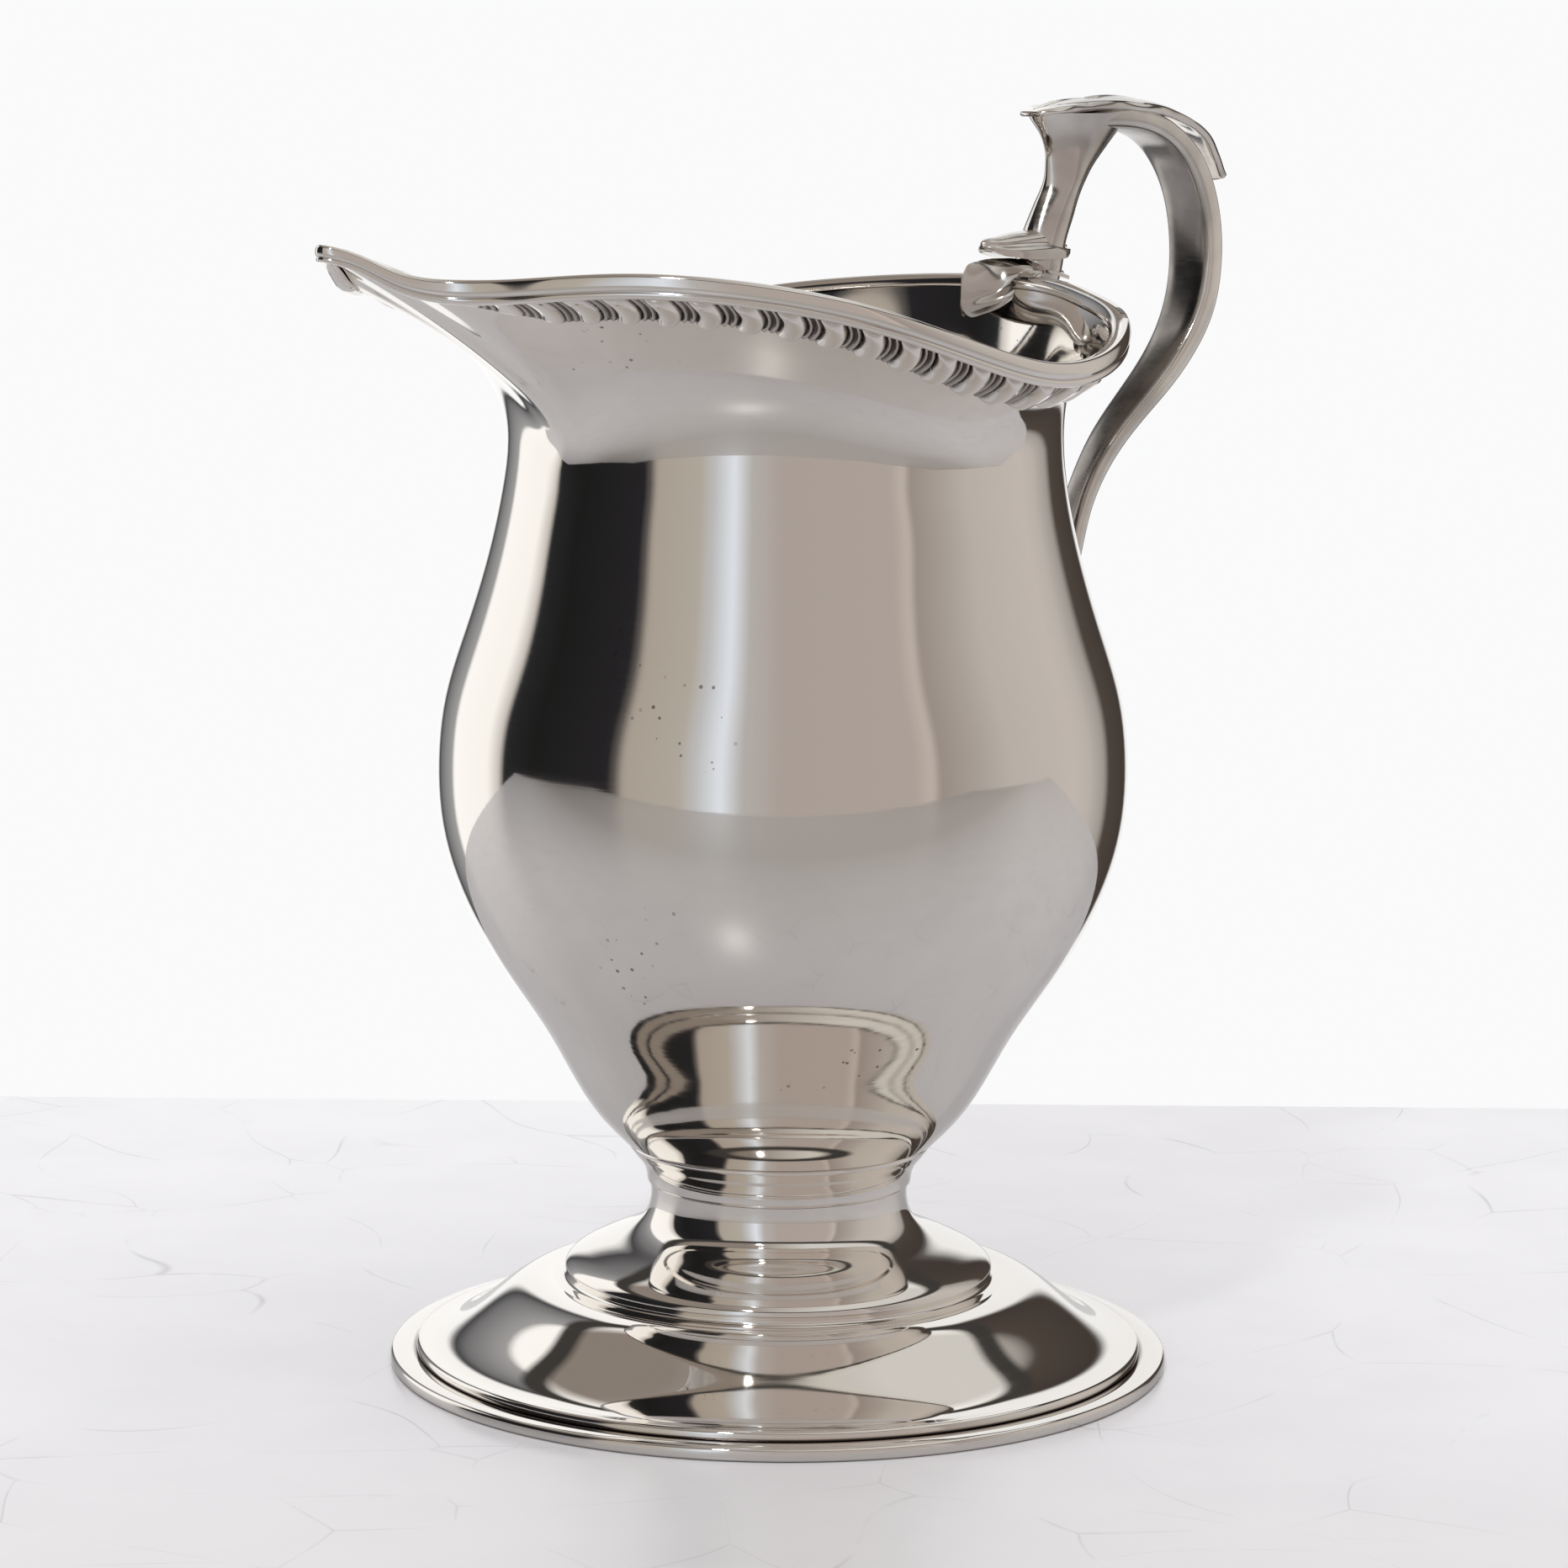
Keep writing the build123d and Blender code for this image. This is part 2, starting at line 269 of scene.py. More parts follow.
def add_node(
    tree: bpy.types.NodeTree, kind: str, inputs: dict[int | str, Any] | tuple[Any, ...] = (), **settings: Any
) -> bpy.types.Node:
    """Adds a node with its settings, values and links.

    Args:
        tree: the node tree.
        kind: the node's type.
        inputs: values in the order of the inputs, or by an input's name or place. A node stands for
            its first output.
        **settings: the node's own properties.

    Returns:
        The new node.
    """
    node = tree.nodes.new(kind)
    for key, value in settings.items():
        setattr(node, key, value)
    for key, value in inputs.items() if isinstance(inputs, dict) else enumerate(inputs):
        source = value.outputs[0] if isinstance(value, bpy.types.Node) else value
        if isinstance(source, bpy.types.NodeSocket):
            tree.links.new(source, node.inputs[key])
        else:
            node.inputs[key].default_value = source
    return node


def new_tree(material: bpy.types.Material | bpy.types.World) -> bpy.types.NodeTree:
    """Empties a material's or a world's node tree.

    Args:
        material: the material or the world.

    Returns:
        Its tree, with no nodes.
    """
    material.use_nodes = True
    material.node_tree.nodes.clear()
    return material.node_tree


@dataclass(frozen=True)
class SterlingSilver:
    """Sterling silver, raised or cast and then polished by hand.

    To the eye it is a warm white mirror. Years of wiping have left fine lines round it that soften
    the edges of what it reflects, and the cloths never reach the hollows, which stay brown.
    """

    name: str
    tint: str = "#F3EFEA"
    # The tarnish colour, which also paints the dimming over a casting and the dark reflection line on the
    # rim moulding.
    tarnish: str = "#5B4A44"
    roughness: float = 0.03
    roughness_spread: float = 0.045
    roughness_tarnished: float = 0.18
    # The wiping lines' spacing, their length at the girth, and their depth. Real ones are a tenth as
    # far apart, which is too fine to show.
    hairline_mm: float = 0.35
    hairline_run_mm: float = 14.0
    girth_r: float = 30.0
    hairline_depth_mm: float = 0.0012
    # How wide the clouds of wear are, how far apart the pits lie, and how much of that each fills.
    cloud_mm: float = 16.0
    pit_mm: float = 1.1
    pit_share: float = 0.16
    # How dark the pits are, and how dark the painted dimming over a casting is, from 0 to 1; the dimming
    # stands in for the casting's dark reflections.
    pits: float = 0.0
    painted_dimming: float = 0.0

    def build(self) -> bpy.types.Material:
        """Makes the material.

        Returns:
            The material, which is dark where a piece's tarnish values say so.
        """
        material = bpy.data.materials.new(self.name)
        tree = new_tree(material)
        place = add_node(tree, "ShaderNodeTexCoord").outputs["Object"]
        parts = add_node(tree, "ShaderNodeSeparateXYZ", (place,)).outputs
        # Wiping lines run round the axis: long one way and a fraction of a millimetre the other.
        back = add_node(tree, "ShaderNodeMath", (parts["X"], -1.0), operation="MULTIPLY")
        turn = add_node(tree, "ShaderNodeMath", (parts["Y"], back), operation="ARCTAN2")
        runs = self.girth_r / self.hairline_run_mm
        run = add_node(tree, "ShaderNodeMath", (turn, runs), operation="MULTIPLY")
        lines_up = 1.0 / (self.hairline_mm * MM)
        rise = add_node(tree, "ShaderNodeMath", (parts["Z"], lines_up), operation="MULTIPLY")
        stretch = add_node(tree, "ShaderNodeCombineXYZ", (run, 0.0, rise))
        weave = {"Vector": stretch, "Scale": 1.0, "Detail": 3.0, "Roughness": 0.6}
        lines = add_node(tree, "ShaderNodeTexNoise", weave)
        clouds = {"Vector": place, "Scale": 1.0 / (self.cloud_mm * MM), "Detail": 4.0}
        cloud = add_node(tree, "ShaderNodeTexNoise", clouds)
        # Pits are tiny dark specks that come in groups.
        cells = {"Vector": place, "Scale": 1.0 / (self.pit_mm * MM)}
        apart = add_node(tree, "ShaderNodeTexVoronoi", cells).outputs["Distance"]
        speck = add_node(tree, "ShaderNodeMath", (apart, self.pit_share), operation="LESS_THAN")
        patch = add_node(tree, "ShaderNodeMapRange", (cloud, 0.62, 0.66, 0.0, self.pits))
        pit = add_node(tree, "ShaderNodeMath", (speck, patch), operation="MULTIPLY")
        # Tarnish lies in the hollows and joints, and the same values also paint a dark reflection line on
        # the rim moulding; a painted dimming in clouds over a casting stands in for its dark reflections.
        hollow = add_node(tree, "ShaderNodeAttribute", attribute_name="tarnish").outputs["Fac"]
        dimming = add_node(tree, "ShaderNodeMapRange", (cloud, 0.45, 0.75, 0.0, self.painted_dimming))
        deepest = add_node(tree, "ShaderNodeMath", (pit, hollow), operation="MAXIMUM")
        dark = add_node(tree, "ShaderNodeMath", (deepest, dimming), operation="ADD", use_clamp=True)
        tones = {"Factor": dark, 6: linear(self.tint), 7: linear(self.tarnish)}
        colour = add_node(tree, "ShaderNodeMix", tones, data_type="RGBA").outputs[2]
        streak = add_node(tree, "ShaderNodeMath", (lines, cloud), operation="MULTIPLY")
        worn = self.roughness + self.roughness_spread
        polish = add_node(tree, "ShaderNodeMapRange", (streak, 0.15, 0.4, self.roughness, worn))
        dulled = (dark, self.roughness_tarnished, polish)
        rough = add_node(tree, "ShaderNodeMath", dulled, operation="MULTIPLY_ADD")
        depth = self.hairline_depth_mm * MM
        height = add_node(tree, "ShaderNodeMath", (lines, depth), operation="MULTIPLY")
        bump = add_node(tree, "ShaderNodeBump", {"Height": height, "Strength": 1.0, "Distance": 1.0})
        surface = {"Base Color": colour, "Metallic": 1.0, "Roughness": rough, "Normal": bump}
        shader = add_node(tree, "ShaderNodeBsdfPrincipled", surface)
        add_node(tree, "ShaderNodeOutputMaterial", {"Surface": shader})
        return material


@dataclass(frozen=True)
class HonedMarble:
    """White marble, honed flat.

    To the eye it is a pale, faintly mottled sheet with a soft shine and a few fine grey scratches.
    """

    name: str = "honed_white_marble"
    pale: str = "#F0F0F5"
    mottled: str = "#E0E0E6"
    scratched: str = "#8F8E94"
    unlit: str = "#C9C7C6"
    roughness: float = 0.28
    mottle_mm: float = 16.667
    sway_mm: float = 111.11
    sway: float = 0.12
    scratch_mm: float = 23.81
    # Where the lit part starts and is full, ahead of the jug.
    lit_from_mm: float = -160.0
    lit_full_mm: float = -20.0
    # Painted shade: the stone's colour is dimmed to this share where the silver reflects it, and kept full
    # where it is seen straight.
    image_tone: float = 0.62

    def build(self, forward: tuple[float, float]) -> bpy.types.Material:
        """Makes the material.

        Args:
            forward: the way from the unlit room to the backdrop, in plan.

        Returns:
            The material.
        """
        material = bpy.data.materials.new(self.name)
        tree = new_tree(material)
        place = add_node(tree, "ShaderNodeTexCoord").outputs["Object"]
        line = (place, (*forward, 0.0))
        ahead = add_node(tree, "ShaderNodeVectorMath", line, operation="DOT_PRODUCT").outputs["Value"]
        reach = (ahead, self.lit_from_mm * MM, self.lit_full_mm * MM)
        lit = add_node(tree, "ShaderNodeMapRange", reach)
        grain = {"Vector": place, "Scale": 1.0 / (self.mottle_mm * MM), "Detail": 8.0}
        mottle = add_node(tree, "ShaderNodeTexNoise", grain)
        grey = add_node(tree, "ShaderNodeMapRange", (mottle, 0.35, 0.7, 0.0, 0.35))
        tones = {"Factor": grey, 6: linear(self.pale), 7: linear(self.mottled)}
        stone = add_node(tree, "ShaderNodeMix", tones, data_type="RGBA").outputs[2]
        # Scratches are the edges of large swaying cells, kept only here and there.
        waves = {"Vector": place, "Scale": 1.0 / (self.sway_mm * MM), "Detail": 2.0}
        wave = add_node(tree, "ShaderNodeTexNoise", waves).outputs["Color"]
        swayed = (wave, (self.sway,) * 3, place)
        bent = add_node(tree, "ShaderNodeVectorMath", swayed, operation="MULTIPLY_ADD")
        cells = {"Vector": bent, "Scale": 1.0 / (self.scratch_mm * MM)}
        edges = add_node(tree, "ShaderNodeTexVoronoi", cells, feature="DISTANCE_TO_EDGE")
        thin = add_node(tree, "ShaderNodeMapRange", (edges.outputs["Distance"], 0.0, 0.006, 0.4, 0.0))
        patch = add_node(tree, "ShaderNodeMapRange", (mottle, 0.46, 0.6))
        scratch = add_node(tree, "ShaderNodeMath", (thin, patch), operation="MULTIPLY")
        tones = {"Factor": scratch, 6: stone, 7: linear(self.scratched)}
        marked = add_node(tree, "ShaderNodeMix", tones, data_type="RGBA").outputs[2]
        tones = {"Factor": lit, 6: linear(self.unlit), 7: marked}
        shade = add_node(tree, "ShaderNodeMix", tones, data_type="RGBA").outputs[2]
        # Painted shade: only camera rays see the stone at full colour.
        seen = add_node(tree, "ShaderNodeLightPath").outputs["Is Camera Ray"]
        dim = add_node(tree, "ShaderNodeMapRange", (seen, 0.0, 1.0, self.image_tone, 1.0))
        toned = add_node(tree, "ShaderNodeVectorMath", {0: shade, "Scale": dim}, operation="SCALE")
        surface = {"Base Color": toned, "Roughness": self.roughness}
        shader = add_node(tree, "ShaderNodeBsdfPrincipled", surface)
        add_node(tree, "ShaderNodeOutputMaterial", {"Surface": shader})
        return material


# ---------------------------------------------------------------- bowl, rim and borders


@dataclass
class RimLine:
    """The rim's outer top edge, and how the wall below flares out to it."""

    # Degrees round from the spout, reach from the axis, height, how late the wall flares.
    stations: tuple[tuple[float, float, float, float], ...] = (
        (0, 49.1, 99.7, 1.45),
        (2.5, 47.2, 99.15, 1.5),
        (5, 45.0, 97.85, 1.6),
        (10, 41.7, 97.0, 1.8),
        (20, 39.8, 97.35, 2.0),
        (30, 38.8, 97.8, 2.1),
        (42, 38.0, 97.5, 2.2),
        (60, 36.6, 95.5, 2.1),
        (80, 34.7, 91.7, 1.9),
        (90, 34.3, 90.4, 1.9),
        (100, 33.8, 90.6, 1.9),
        (120, 31.0, 93.2, 2.0),
        (140, 27.3, 94.8, 2.2),
        (160, 26.2, 95.5, 2.2),
        (180, 26.2, 95.7, 2.2),
    )
    lip_inset: float = 0.9
    lip_drop: float = 1.3
    # The edge is this slight at the spout's tip, and full size from this angle on.
    tip_fineness: float = 0.68
    tip_deg: float = 12.0
    curve: SmoothCurve = field(init=False)

    def __post_init__(self) -> None:
        """Runs the stations on past the spout and the handle, so the curve is symmetric."""
        rows = [list(r) for r in self.stations]
        before = [[-r[0], *r[1:]] for r in rows[8:0:-1]]
        after = [[360 - r[0], *r[1:]] for r in rows[-2:-6:-1]]
        table = np.array(before + rows + after, float)
        self.curve = SmoothCurve(table[:, 0], table[:, 1:])

    def at(self, degrees: np.ndarray) -> np.ndarray:
        """Returns reach, height and flare at angles from the spout, either way round."""
        return self.curve(np.abs((np.asarray(degrees, float) + 180) % 360 - 180))

    def fineness(self, degrees: np.ndarray) -> np.ndarray:
        """Returns how much slighter the edge is toward the spout's tip, 1 being full size."""
        away = np.clip(np.abs((np.asarray(degrees, float) + 180) % 360 - 180) / self.tip_deg, 0, 1)
        return self.tip_fineness + (1 - self.tip_fineness) * away * away * (3 - 2 * away)

    def points(self, degrees: np.ndarray) -> np.ndarray:
        """Returns the rim's points at angles from the spout."""
        row = self.at(degrees)
        return polar(degrees, row[:, 0], row[:, 1])


def polar(degrees: np.ndarray, reach: np.ndarray, height: np.ndarray) -> np.ndarray:
    """Returns points at angles in degrees from the spout."""
    a = np.radians(degrees)
    return np.column_stack([-reach * np.cos(a), -reach * np.sin(a), height * np.ones_like(a)])


@dataclass
class Bowl:
    """The raised bowl, from its floor up to the flared lip and the spout."""

    rim: RimLine
    # The thickness of the silver.
    wall: float = 0.9
    floor_z: float = 19.9
    floor_r: float = 13.7
    neck_r: float = 24.25
    neck_z: float = 82.0
    # Height and radius of the outside, below the neck.
    side: tuple[tuple[float, float], ...] = (
        (19.9, 13.75),
        (22, 15.8),
        (25, 17.9),
        (30, 20.75),
        (36, 24.85),
        (42, 28.1),
        (48, 29.9),
        (54, 30.28),
        (60, 29.55),
        (66, 27.7),
        (72, 25.9),
        (78, 24.62),
    )
    # Where the flare's stations stand, as shares of the way from the neck to the lip.
    flare_shares: tuple[float, ...] = (0.05, 0.4, 0.7, 1.0)
    # Where the rings of the dished floor stand, as shares of its radius.
    dish_shares: tuple[float, ...] = (0.8, 0.55, 0.3, 0.1)
    base_inset: float = 0.4
    turns: int = 480
    side_rows: int = 56
    flare_rows: int = 26

    def angles(self) -> np.ndarray:
        """Returns the angles from the spout at which the wall is drawn."""
        return np.arange(self.turns) * 360.0 / self.turns

    def section(self, degrees: float) -> np.ndarray:
        """Draws the outside of the wall at one angle.

        Args:
            degrees: the angle from the spout.

        Returns:
            Radius and height of each row, from the floor to the lip.
        """
        reach, top, flare = self.rim.at(np.array([degrees]))[0]
        fine = float(self.rim.fineness(np.array([degrees]))[0])
        lip_r, lip_z = reach - self.rim.lip_inset * fine, top - self.rim.lip_drop * fine
        rows = list(self.side)
        for share in self.flare_shares:
            z = self.neck_z + (lip_z - self.neck_z) * share
            rows.append((z, self.neck_r + (lip_r - self.neck_r) * share**flare))
        table = np.array(rows)
        curve = SmoothCurve(table[:, 0], table[:, 1])
        heights = np.concatenate(
            [
                np.linspace(self.floor_z, self.neck_z, self.side_rows, endpoint=False),
                np.linspace(self.neck_z, lip_z, self.flare_rows),
            ]
        )
        return np.column_stack([curve(heights)[:, 0], heights])

    def inner(self, outer: np.ndarray, fineness: float) -> np.ndarray:
        """Draws the inside of the wall, thinned toward the spout's tip.

        Args:
            outer: radius and height of each row of the outside.
            fineness: how slight the edge is there, 1 being full size.

        Returns:
            Radius and height of each row of the inside.
        """
        along = np.gradient(outer, axis=0)
        along /= np.linalg.norm(along, axis=1)[:, None]
        up = np.clip((outer[:, 1] - self.neck_z) / (outer[-1, 1] - self.neck_z), 0, 1)
        wall = self.wall * (1 - up * (1 - fineness))
        return outer + np.column_stack([-along[:, 1], along[:, 0]]) * wall[:, None]

    def build(self) -> bpy.types.Object:
        """Makes the bowl as one closed wall.

        Returns:
            The bowl.
        """
        angles = self.angles()
        outer = np.array([self.section(a) for a in angles])
        inner = np.array([self.inner(s, f) for s, f in zip(outer, self.rim.fineness(angles))])
        rows = [polar(angles, outer[:, j, 0], outer[:, j, 1]) for j in range(outer.shape[1])]
        rows += [polar(angles, inner[:, j, 0], inner[:, j, 1]) for j in reversed(range(inner.shape[1]))]
        base_r = np.full(self.turns, self.floor_r - self.base_inset)
        base = polar(angles, base_r, np.full(self.turns, self.floor_z))
        foot_in = inner[:, 0]
        floor_top = self.floor_z + self.wall
        dish = []
        for share in self.dish_shares:
            sink = floor_top + (foot_in[:, 1] - floor_top) * share**2
            dish.append(polar(angles, foot_in[:, 0] * share, sink))
        return shell_mesh(
            "body",
            [base, *rows, *dish],
            first=np.array([0, 0, self.floor_z]),
            last=np.array([0, 0, floor_top]),
        )


@dataclass
class RimMoulding:
    """The drawn wire that caps the lip: a broad rounded band with a thin bead under it."""

    rim: RimLine
    turns: int = 480
    outline_steps: int = 60
    # The dark line in the groove lies this far below the rim line, and a painted dark reflection line lies
    # this far in from it, on the wire's top.
    groove_drop: float = 1.42
    crest_inset: float = 1.25
    # Out from the rim line and up from it, round the section.
    outline: tuple[tuple[float, float], ...] = (
        (-1.55, -1.75),
        (-1.8, -1.2),
        (-1.78, -0.75),
        (-1.6, -0.4),
        (-1.25, -0.12),
        (-0.85, -0.02),
        (-0.45, 0.0),
        (-0.2, -0.08),
        (-0.06, -0.28),
        (0.02, -0.6),
        (0.04, -0.9),
        (-0.02, -1.2),
        (-0.14, -1.38),
        (-0.16, -1.46),
        (-0.08, -1.56),
        (-0.05, -1.72),
        (-0.1, -1.9),
        (-0.26, -2.04),
        (-0.6, -2.08),
        (-1.1, -1.98),
    )

    def build(self) -> bpy.types.Object:
        """Sweeps the section round the rim.

        Returns:
            The moulding.
        """
        degrees = np.arange(self.turns) * 360.0 / self.turns
        line = self.rim.points(degrees)
        ahead = np.roll(line, -1, axis=0) - np.roll(line, 1, axis=0)
        out = np.column_stack([-ahead[:, 1], ahead[:, 0], np.zeros(self.turns)])
        out /= -np.linalg.norm(out, axis=1)[:, None]
        out *= np.sign(np.sum(out * line, axis=1))[:, None]
        outline = smooth_path((*self.outline, self.outline[0]), self.outline_steps + 1)[:-1]
        fine = self.rim.fineness(degrees)[:, None]
        rings = [line + (out * d + np.array([0, 0, h])) * fine for d, h in outline]
        groove = soft_line(outline[:, 1], -self.groove_drop, 0.07) * (outline[:, 0] > -0.5)
        # The crest value is a painted dark reflection line along the wire's inner top shoulder.
        crest = soft_line(outline[:, 0], -self.crest_inset, 0.16) * (outline[:, 1] > -0.5)
        marks = np.repeat((0.5 * groove + 0.45 * crest)[:, None], self.turns, axis=1)
        return shell_mesh("rim_moulding", rings, joined=True, marks={"tarnish": marks}, crease_deg=70)


# How a gadroon is raised. Each line names a value, the operation that gives it, whether it is kept
# between 0 and 1, and its terms: numbers, earlier values, the strip's own values or the tree's inputs.
LOBE_STEPS: tuple[tuple[Any, ...], ...] = (
    ("back", "SUBTRACT", False, 1.0, "across"),
    ("both", "MULTIPLY", False, "across", "back"),
    ("belly", "MULTIPLY", False, "both", 4.0),
    ("pitches", "DIVIDE", False, "run_mm", "Pitch"),
    ("bowed", "MULTIPLY", False, "belly", "Bow"),
    ("shifted", "SUBTRACT", False, "pitches", "bowed"),
    ("started", "ADD", False, "shifted", "Start"),
    ("phase", "FRACT", False, "started"),
    # The lobe is a half round over its share of the pitch.
    ("lobe_x", "DIVIDE", True, "phase", "Lobe Share"),
    ("lobe_left", "SUBTRACT", False, 1.0, "lobe_x"),
    ("lobe_both", "MULTIPLY", False, "lobe_x", "lobe_left"),
    ("lobe_round", "MULTIPLY", False, "lobe_both", 4.0),
    ("arch", "SQRT", False, "lobe_round"),
    # Two fine ribs fill the flute between two lobes.
    ("flute_share", "SUBTRACT", False, 1.0, "Lobe Share"),
    ("flute_run", "SUBTRACT", False, "phase", "Lobe Share"),
    ("flute_x", "DIVIDE", True, "flute_run", "flute_share"),
    ("flute_turn", "MULTIPLY", False, "flute_x", FULL_TURN),
    ("wave", "SINE", False, "flute_turn"),
    ("ribs", "MULTIPLY", False, "wave", "wave"),
    ("lobe_up", "MULTIPLY", False, "arch", "Lobe Rise"),
    ("rib_up", "MULTIPLY", False, "ribs", "Rib Rise"),
    ("crest", "ADD", False, "lobe_up", "rib_up"),
    # Both long edges run down to the wall in a quick round.
    ("doubled", "MULTIPLY", False, "across", 2.0),
    ("middle", "SUBTRACT", False, "doubled", 1.0),
    ("off_middle", "ABSOLUTE", False, "middle"),
    ("edge_fall", "POWER", False, "off_middle", 8.0),
    ("edge_left", "SUBTRACT", True, 1.0, "edge_fall"),
    ("edge", "SQRT", False, "edge_left"),
    ("seated", "ADD", False, "crest", "Seat"),
    ("eased", "MULTIPLY", False, "edge", "proud"),
    ("height_mm", "MULTIPLY", False, "seated", "eased"),
    ("height", "MULTIPLY", False, "height_mm", MM),
    # Tarnish stays in the hollows and along both long edges.
    ("shallow", "MULTIPLY", False, "Lobe Rise", 0.6),
    ("filled", "DIVIDE", False, "crest", "shallow"),
    ("hollow", "SUBTRACT", True, 1.0, "filled"),
    ("edge_clear", "MULTIPLY", False, "edge", 1.25),
    ("edge_dark", "SUBTRACT", True, 1.0, "edge_clear"),
    ("tarnish", "MAXIMUM", False, "hollow", "edge_dark"),
)


@dataclass
class GadroonBorder:
    """One applied gadroon strip: broad lobes with narrow ribbed flutes between, bowed along the rim."""

    rim: RimLine
    bowl: Bowl
    # The lobes' spacing along the strip, the part of it that a lobe fills, and how far they stand up.
    pitch: float = 3.4
    lobe_share: float = 0.6
    lobe_rise: float = 0.9
    rib_rise: float = 0.34
    seat: float = 0.22
    # How far a lobe's middle leans ahead of its ends, and where the first one starts, in pitches.
    bow: float = 0.2
    start: float = 0.0
    top_gap: float = 0.35
    width: float = 4.7
    columns: int = 1300
    rows: int = 40
    # The strip starts narrow beside the tip of the spout, and its lobes rise over this many columns.
    first_deg: float = 8.0
    full_deg: float = 18.0
    first_width: float = 0.3
    lead_in: float = 190.0
    # The blank's face stands this far off the bowl, and its back lies this far inside it.
    face_gap: float = 0.02
    back_depth: float = 0.3
    crease_deg: float = 60.0

    def sizes(self) -> dict[str, float]:
        """Returns the lobe tree's inputs by name."""
        return {
            "Pitch": self.pitch,
            "Lobe Share": self.lobe_share,
            "Lobe Rise": self.lobe_rise,
            "Rib Rise": self.rib_rise,
            "Seat": self.seat,
            "Bow": self.bow,
            "Start": self.start,
        }

    def strip(self, side: int) -> tuple[np.ndarray, np.ndarray, np.ndarray, np.ndarray]:
        """Lays the bare strip on the bowl.

        Args:
            side: 1 for the near half and -1 for the far half.

        Returns:
            Points, outward directions, distance along and share across, for each column and row.
        """
        degrees = np.linspace(self.first_deg, 180.0, self.columns)
        across = np.linspace(0.0, 1.0, self.rows)
        points = np.zeros((self.columns, self.rows, 3))
        for i, a in enumerate(degrees):
            section = self.bowl.section(a)[::-1]
            run = along_points(section)
            grown = min(1.0, (a - self.first_deg) / (self.full_deg - self.first_deg))
            places = self.top_gap + across * self.width * (self.first_width + (1 - self.first_width) * grown)
            r = np.interp(places, run, section[:, 0])
            z = np.interp(places, run, section[:, 1])
            points[i] = polar(np.full(self.rows, a), r, z)
        points[..., 1] *= side
        along = np.gradient(points, axis=0)
        down = np.gradient(points, axis=1)
        out = np.cross(down, along) * side
        out /= np.linalg.norm(out, axis=2)[..., None]
        middle = points[:, self.rows // 2]
        run = np.repeat(along_points(middle)[:, None], self.rows, axis=1)
        return points, out, run, np.tile(across, (self.columns, 1))

    def blank(self, name: str, side: int) -> bpy.types.Object:
        """Makes the bare strip as a thin closed solid with the values that shape its lobes.

        Args:
            name: the blank's name.
            side: 1 for the near half and -1 for the far half.

        Returns:
            The blank.
        """
        points, out, run, across = self.strip(side)
        face = points + out * self.face_gap
        back = points - out * self.back_depth
        rings = [np.concatenate([face[i], back[i][-1:], back[i][:1]]) for i in range(self.columns)]
        grown = np.clip(np.arange(self.columns) / self.lead_in, 0, 1)
        values = {"run_mm": run, "across": across, "proud": np.tile(grown[:, None], (1, self.rows))}
        values |= {f"out_{axis}": out[..., k] for k, axis in enumerate("xyz")}
        # The two points of the back take no part in the lobes.
        still = np.zeros((self.columns, 2))
        marks = {label: np.concatenate([row, still], axis=1) for label, row in values.items()}
        return shell_mesh(name, rings, **end_points(rings), marks=marks, crease_deg=self.crease_deg)

    def lobe_tree(self, finish: bpy.types.Material) -> bpy.types.NodeTree:
        """Builds the tree that raises the lobes, ribs and flutes along a bare strip.

        Args:
            finish: the material that the raised strip gets.

        Returns:
            The node tree.
        """
        tree = bpy.data.node_groups.new("gadroon_lobes", "GeometryNodeTree")
        tree.interface.new_socket("Geometry", in_out="INPUT", socket_type="NodeSocketGeometry")
        for label in self.sizes():
            tree.interface.new_socket(label, in_out="INPUT", socket_type="NodeSocketFloat")
        tree.interface.new_socket("Geometry", in_out="OUTPUT", socket_type="NodeSocketGeometry")
        given = add_node(tree, "NodeGroupInput").outputs
        values = {label: given[label] for label in self.sizes()}
        for label in ("run_mm", "across", "proud", "out_x", "out_y", "out_z"):
            mark = add_node(tree, "GeometryNodeInputNamedAttribute", {"Name": label}, data_type="FLOAT")
            values[label] = mark.outputs["Attribute"]
        for label, operation, kept_in, *terms in LOBE_STEPS:
            sources = tuple(values.get(term, term) for term in terms)
            step = add_node(tree, "ShaderNodeMath", sources, operation=operation, use_clamp=kept_in)
            values[label] = step.outputs[0]
        out = add_node(tree, "ShaderNodeCombineXYZ", (values["out_x"], values["out_y"], values["out_z"]))
        rise = {0: out, "Scale": values["height"]}
        lift = add_node(tree, "ShaderNodeVectorMath", rise, operation="SCALE")
        moved = {"Geometry": given["Geometry"], "Offset": lift}
        raised = add_node(tree, "GeometryNodeSetPosition", moved)
        stain = {"Geometry": raised, "Name": "tarnish", "Value": values["tarnish"]}
        stained = add_node(
            tree, "GeometryNodeStoreNamedAttribute", stain, data_type="FLOAT", domain="POINT"
        )
        real = add_node(tree, "GeometryNodeRealizeInstances", {"Geometry": stained})
        dressed = add_node(tree, "GeometryNodeSetMaterial", {"Geometry": real, "Material": finish})
        add_node(tree, "NodeGroupOutput", {"Geometry": dressed})
        return tree

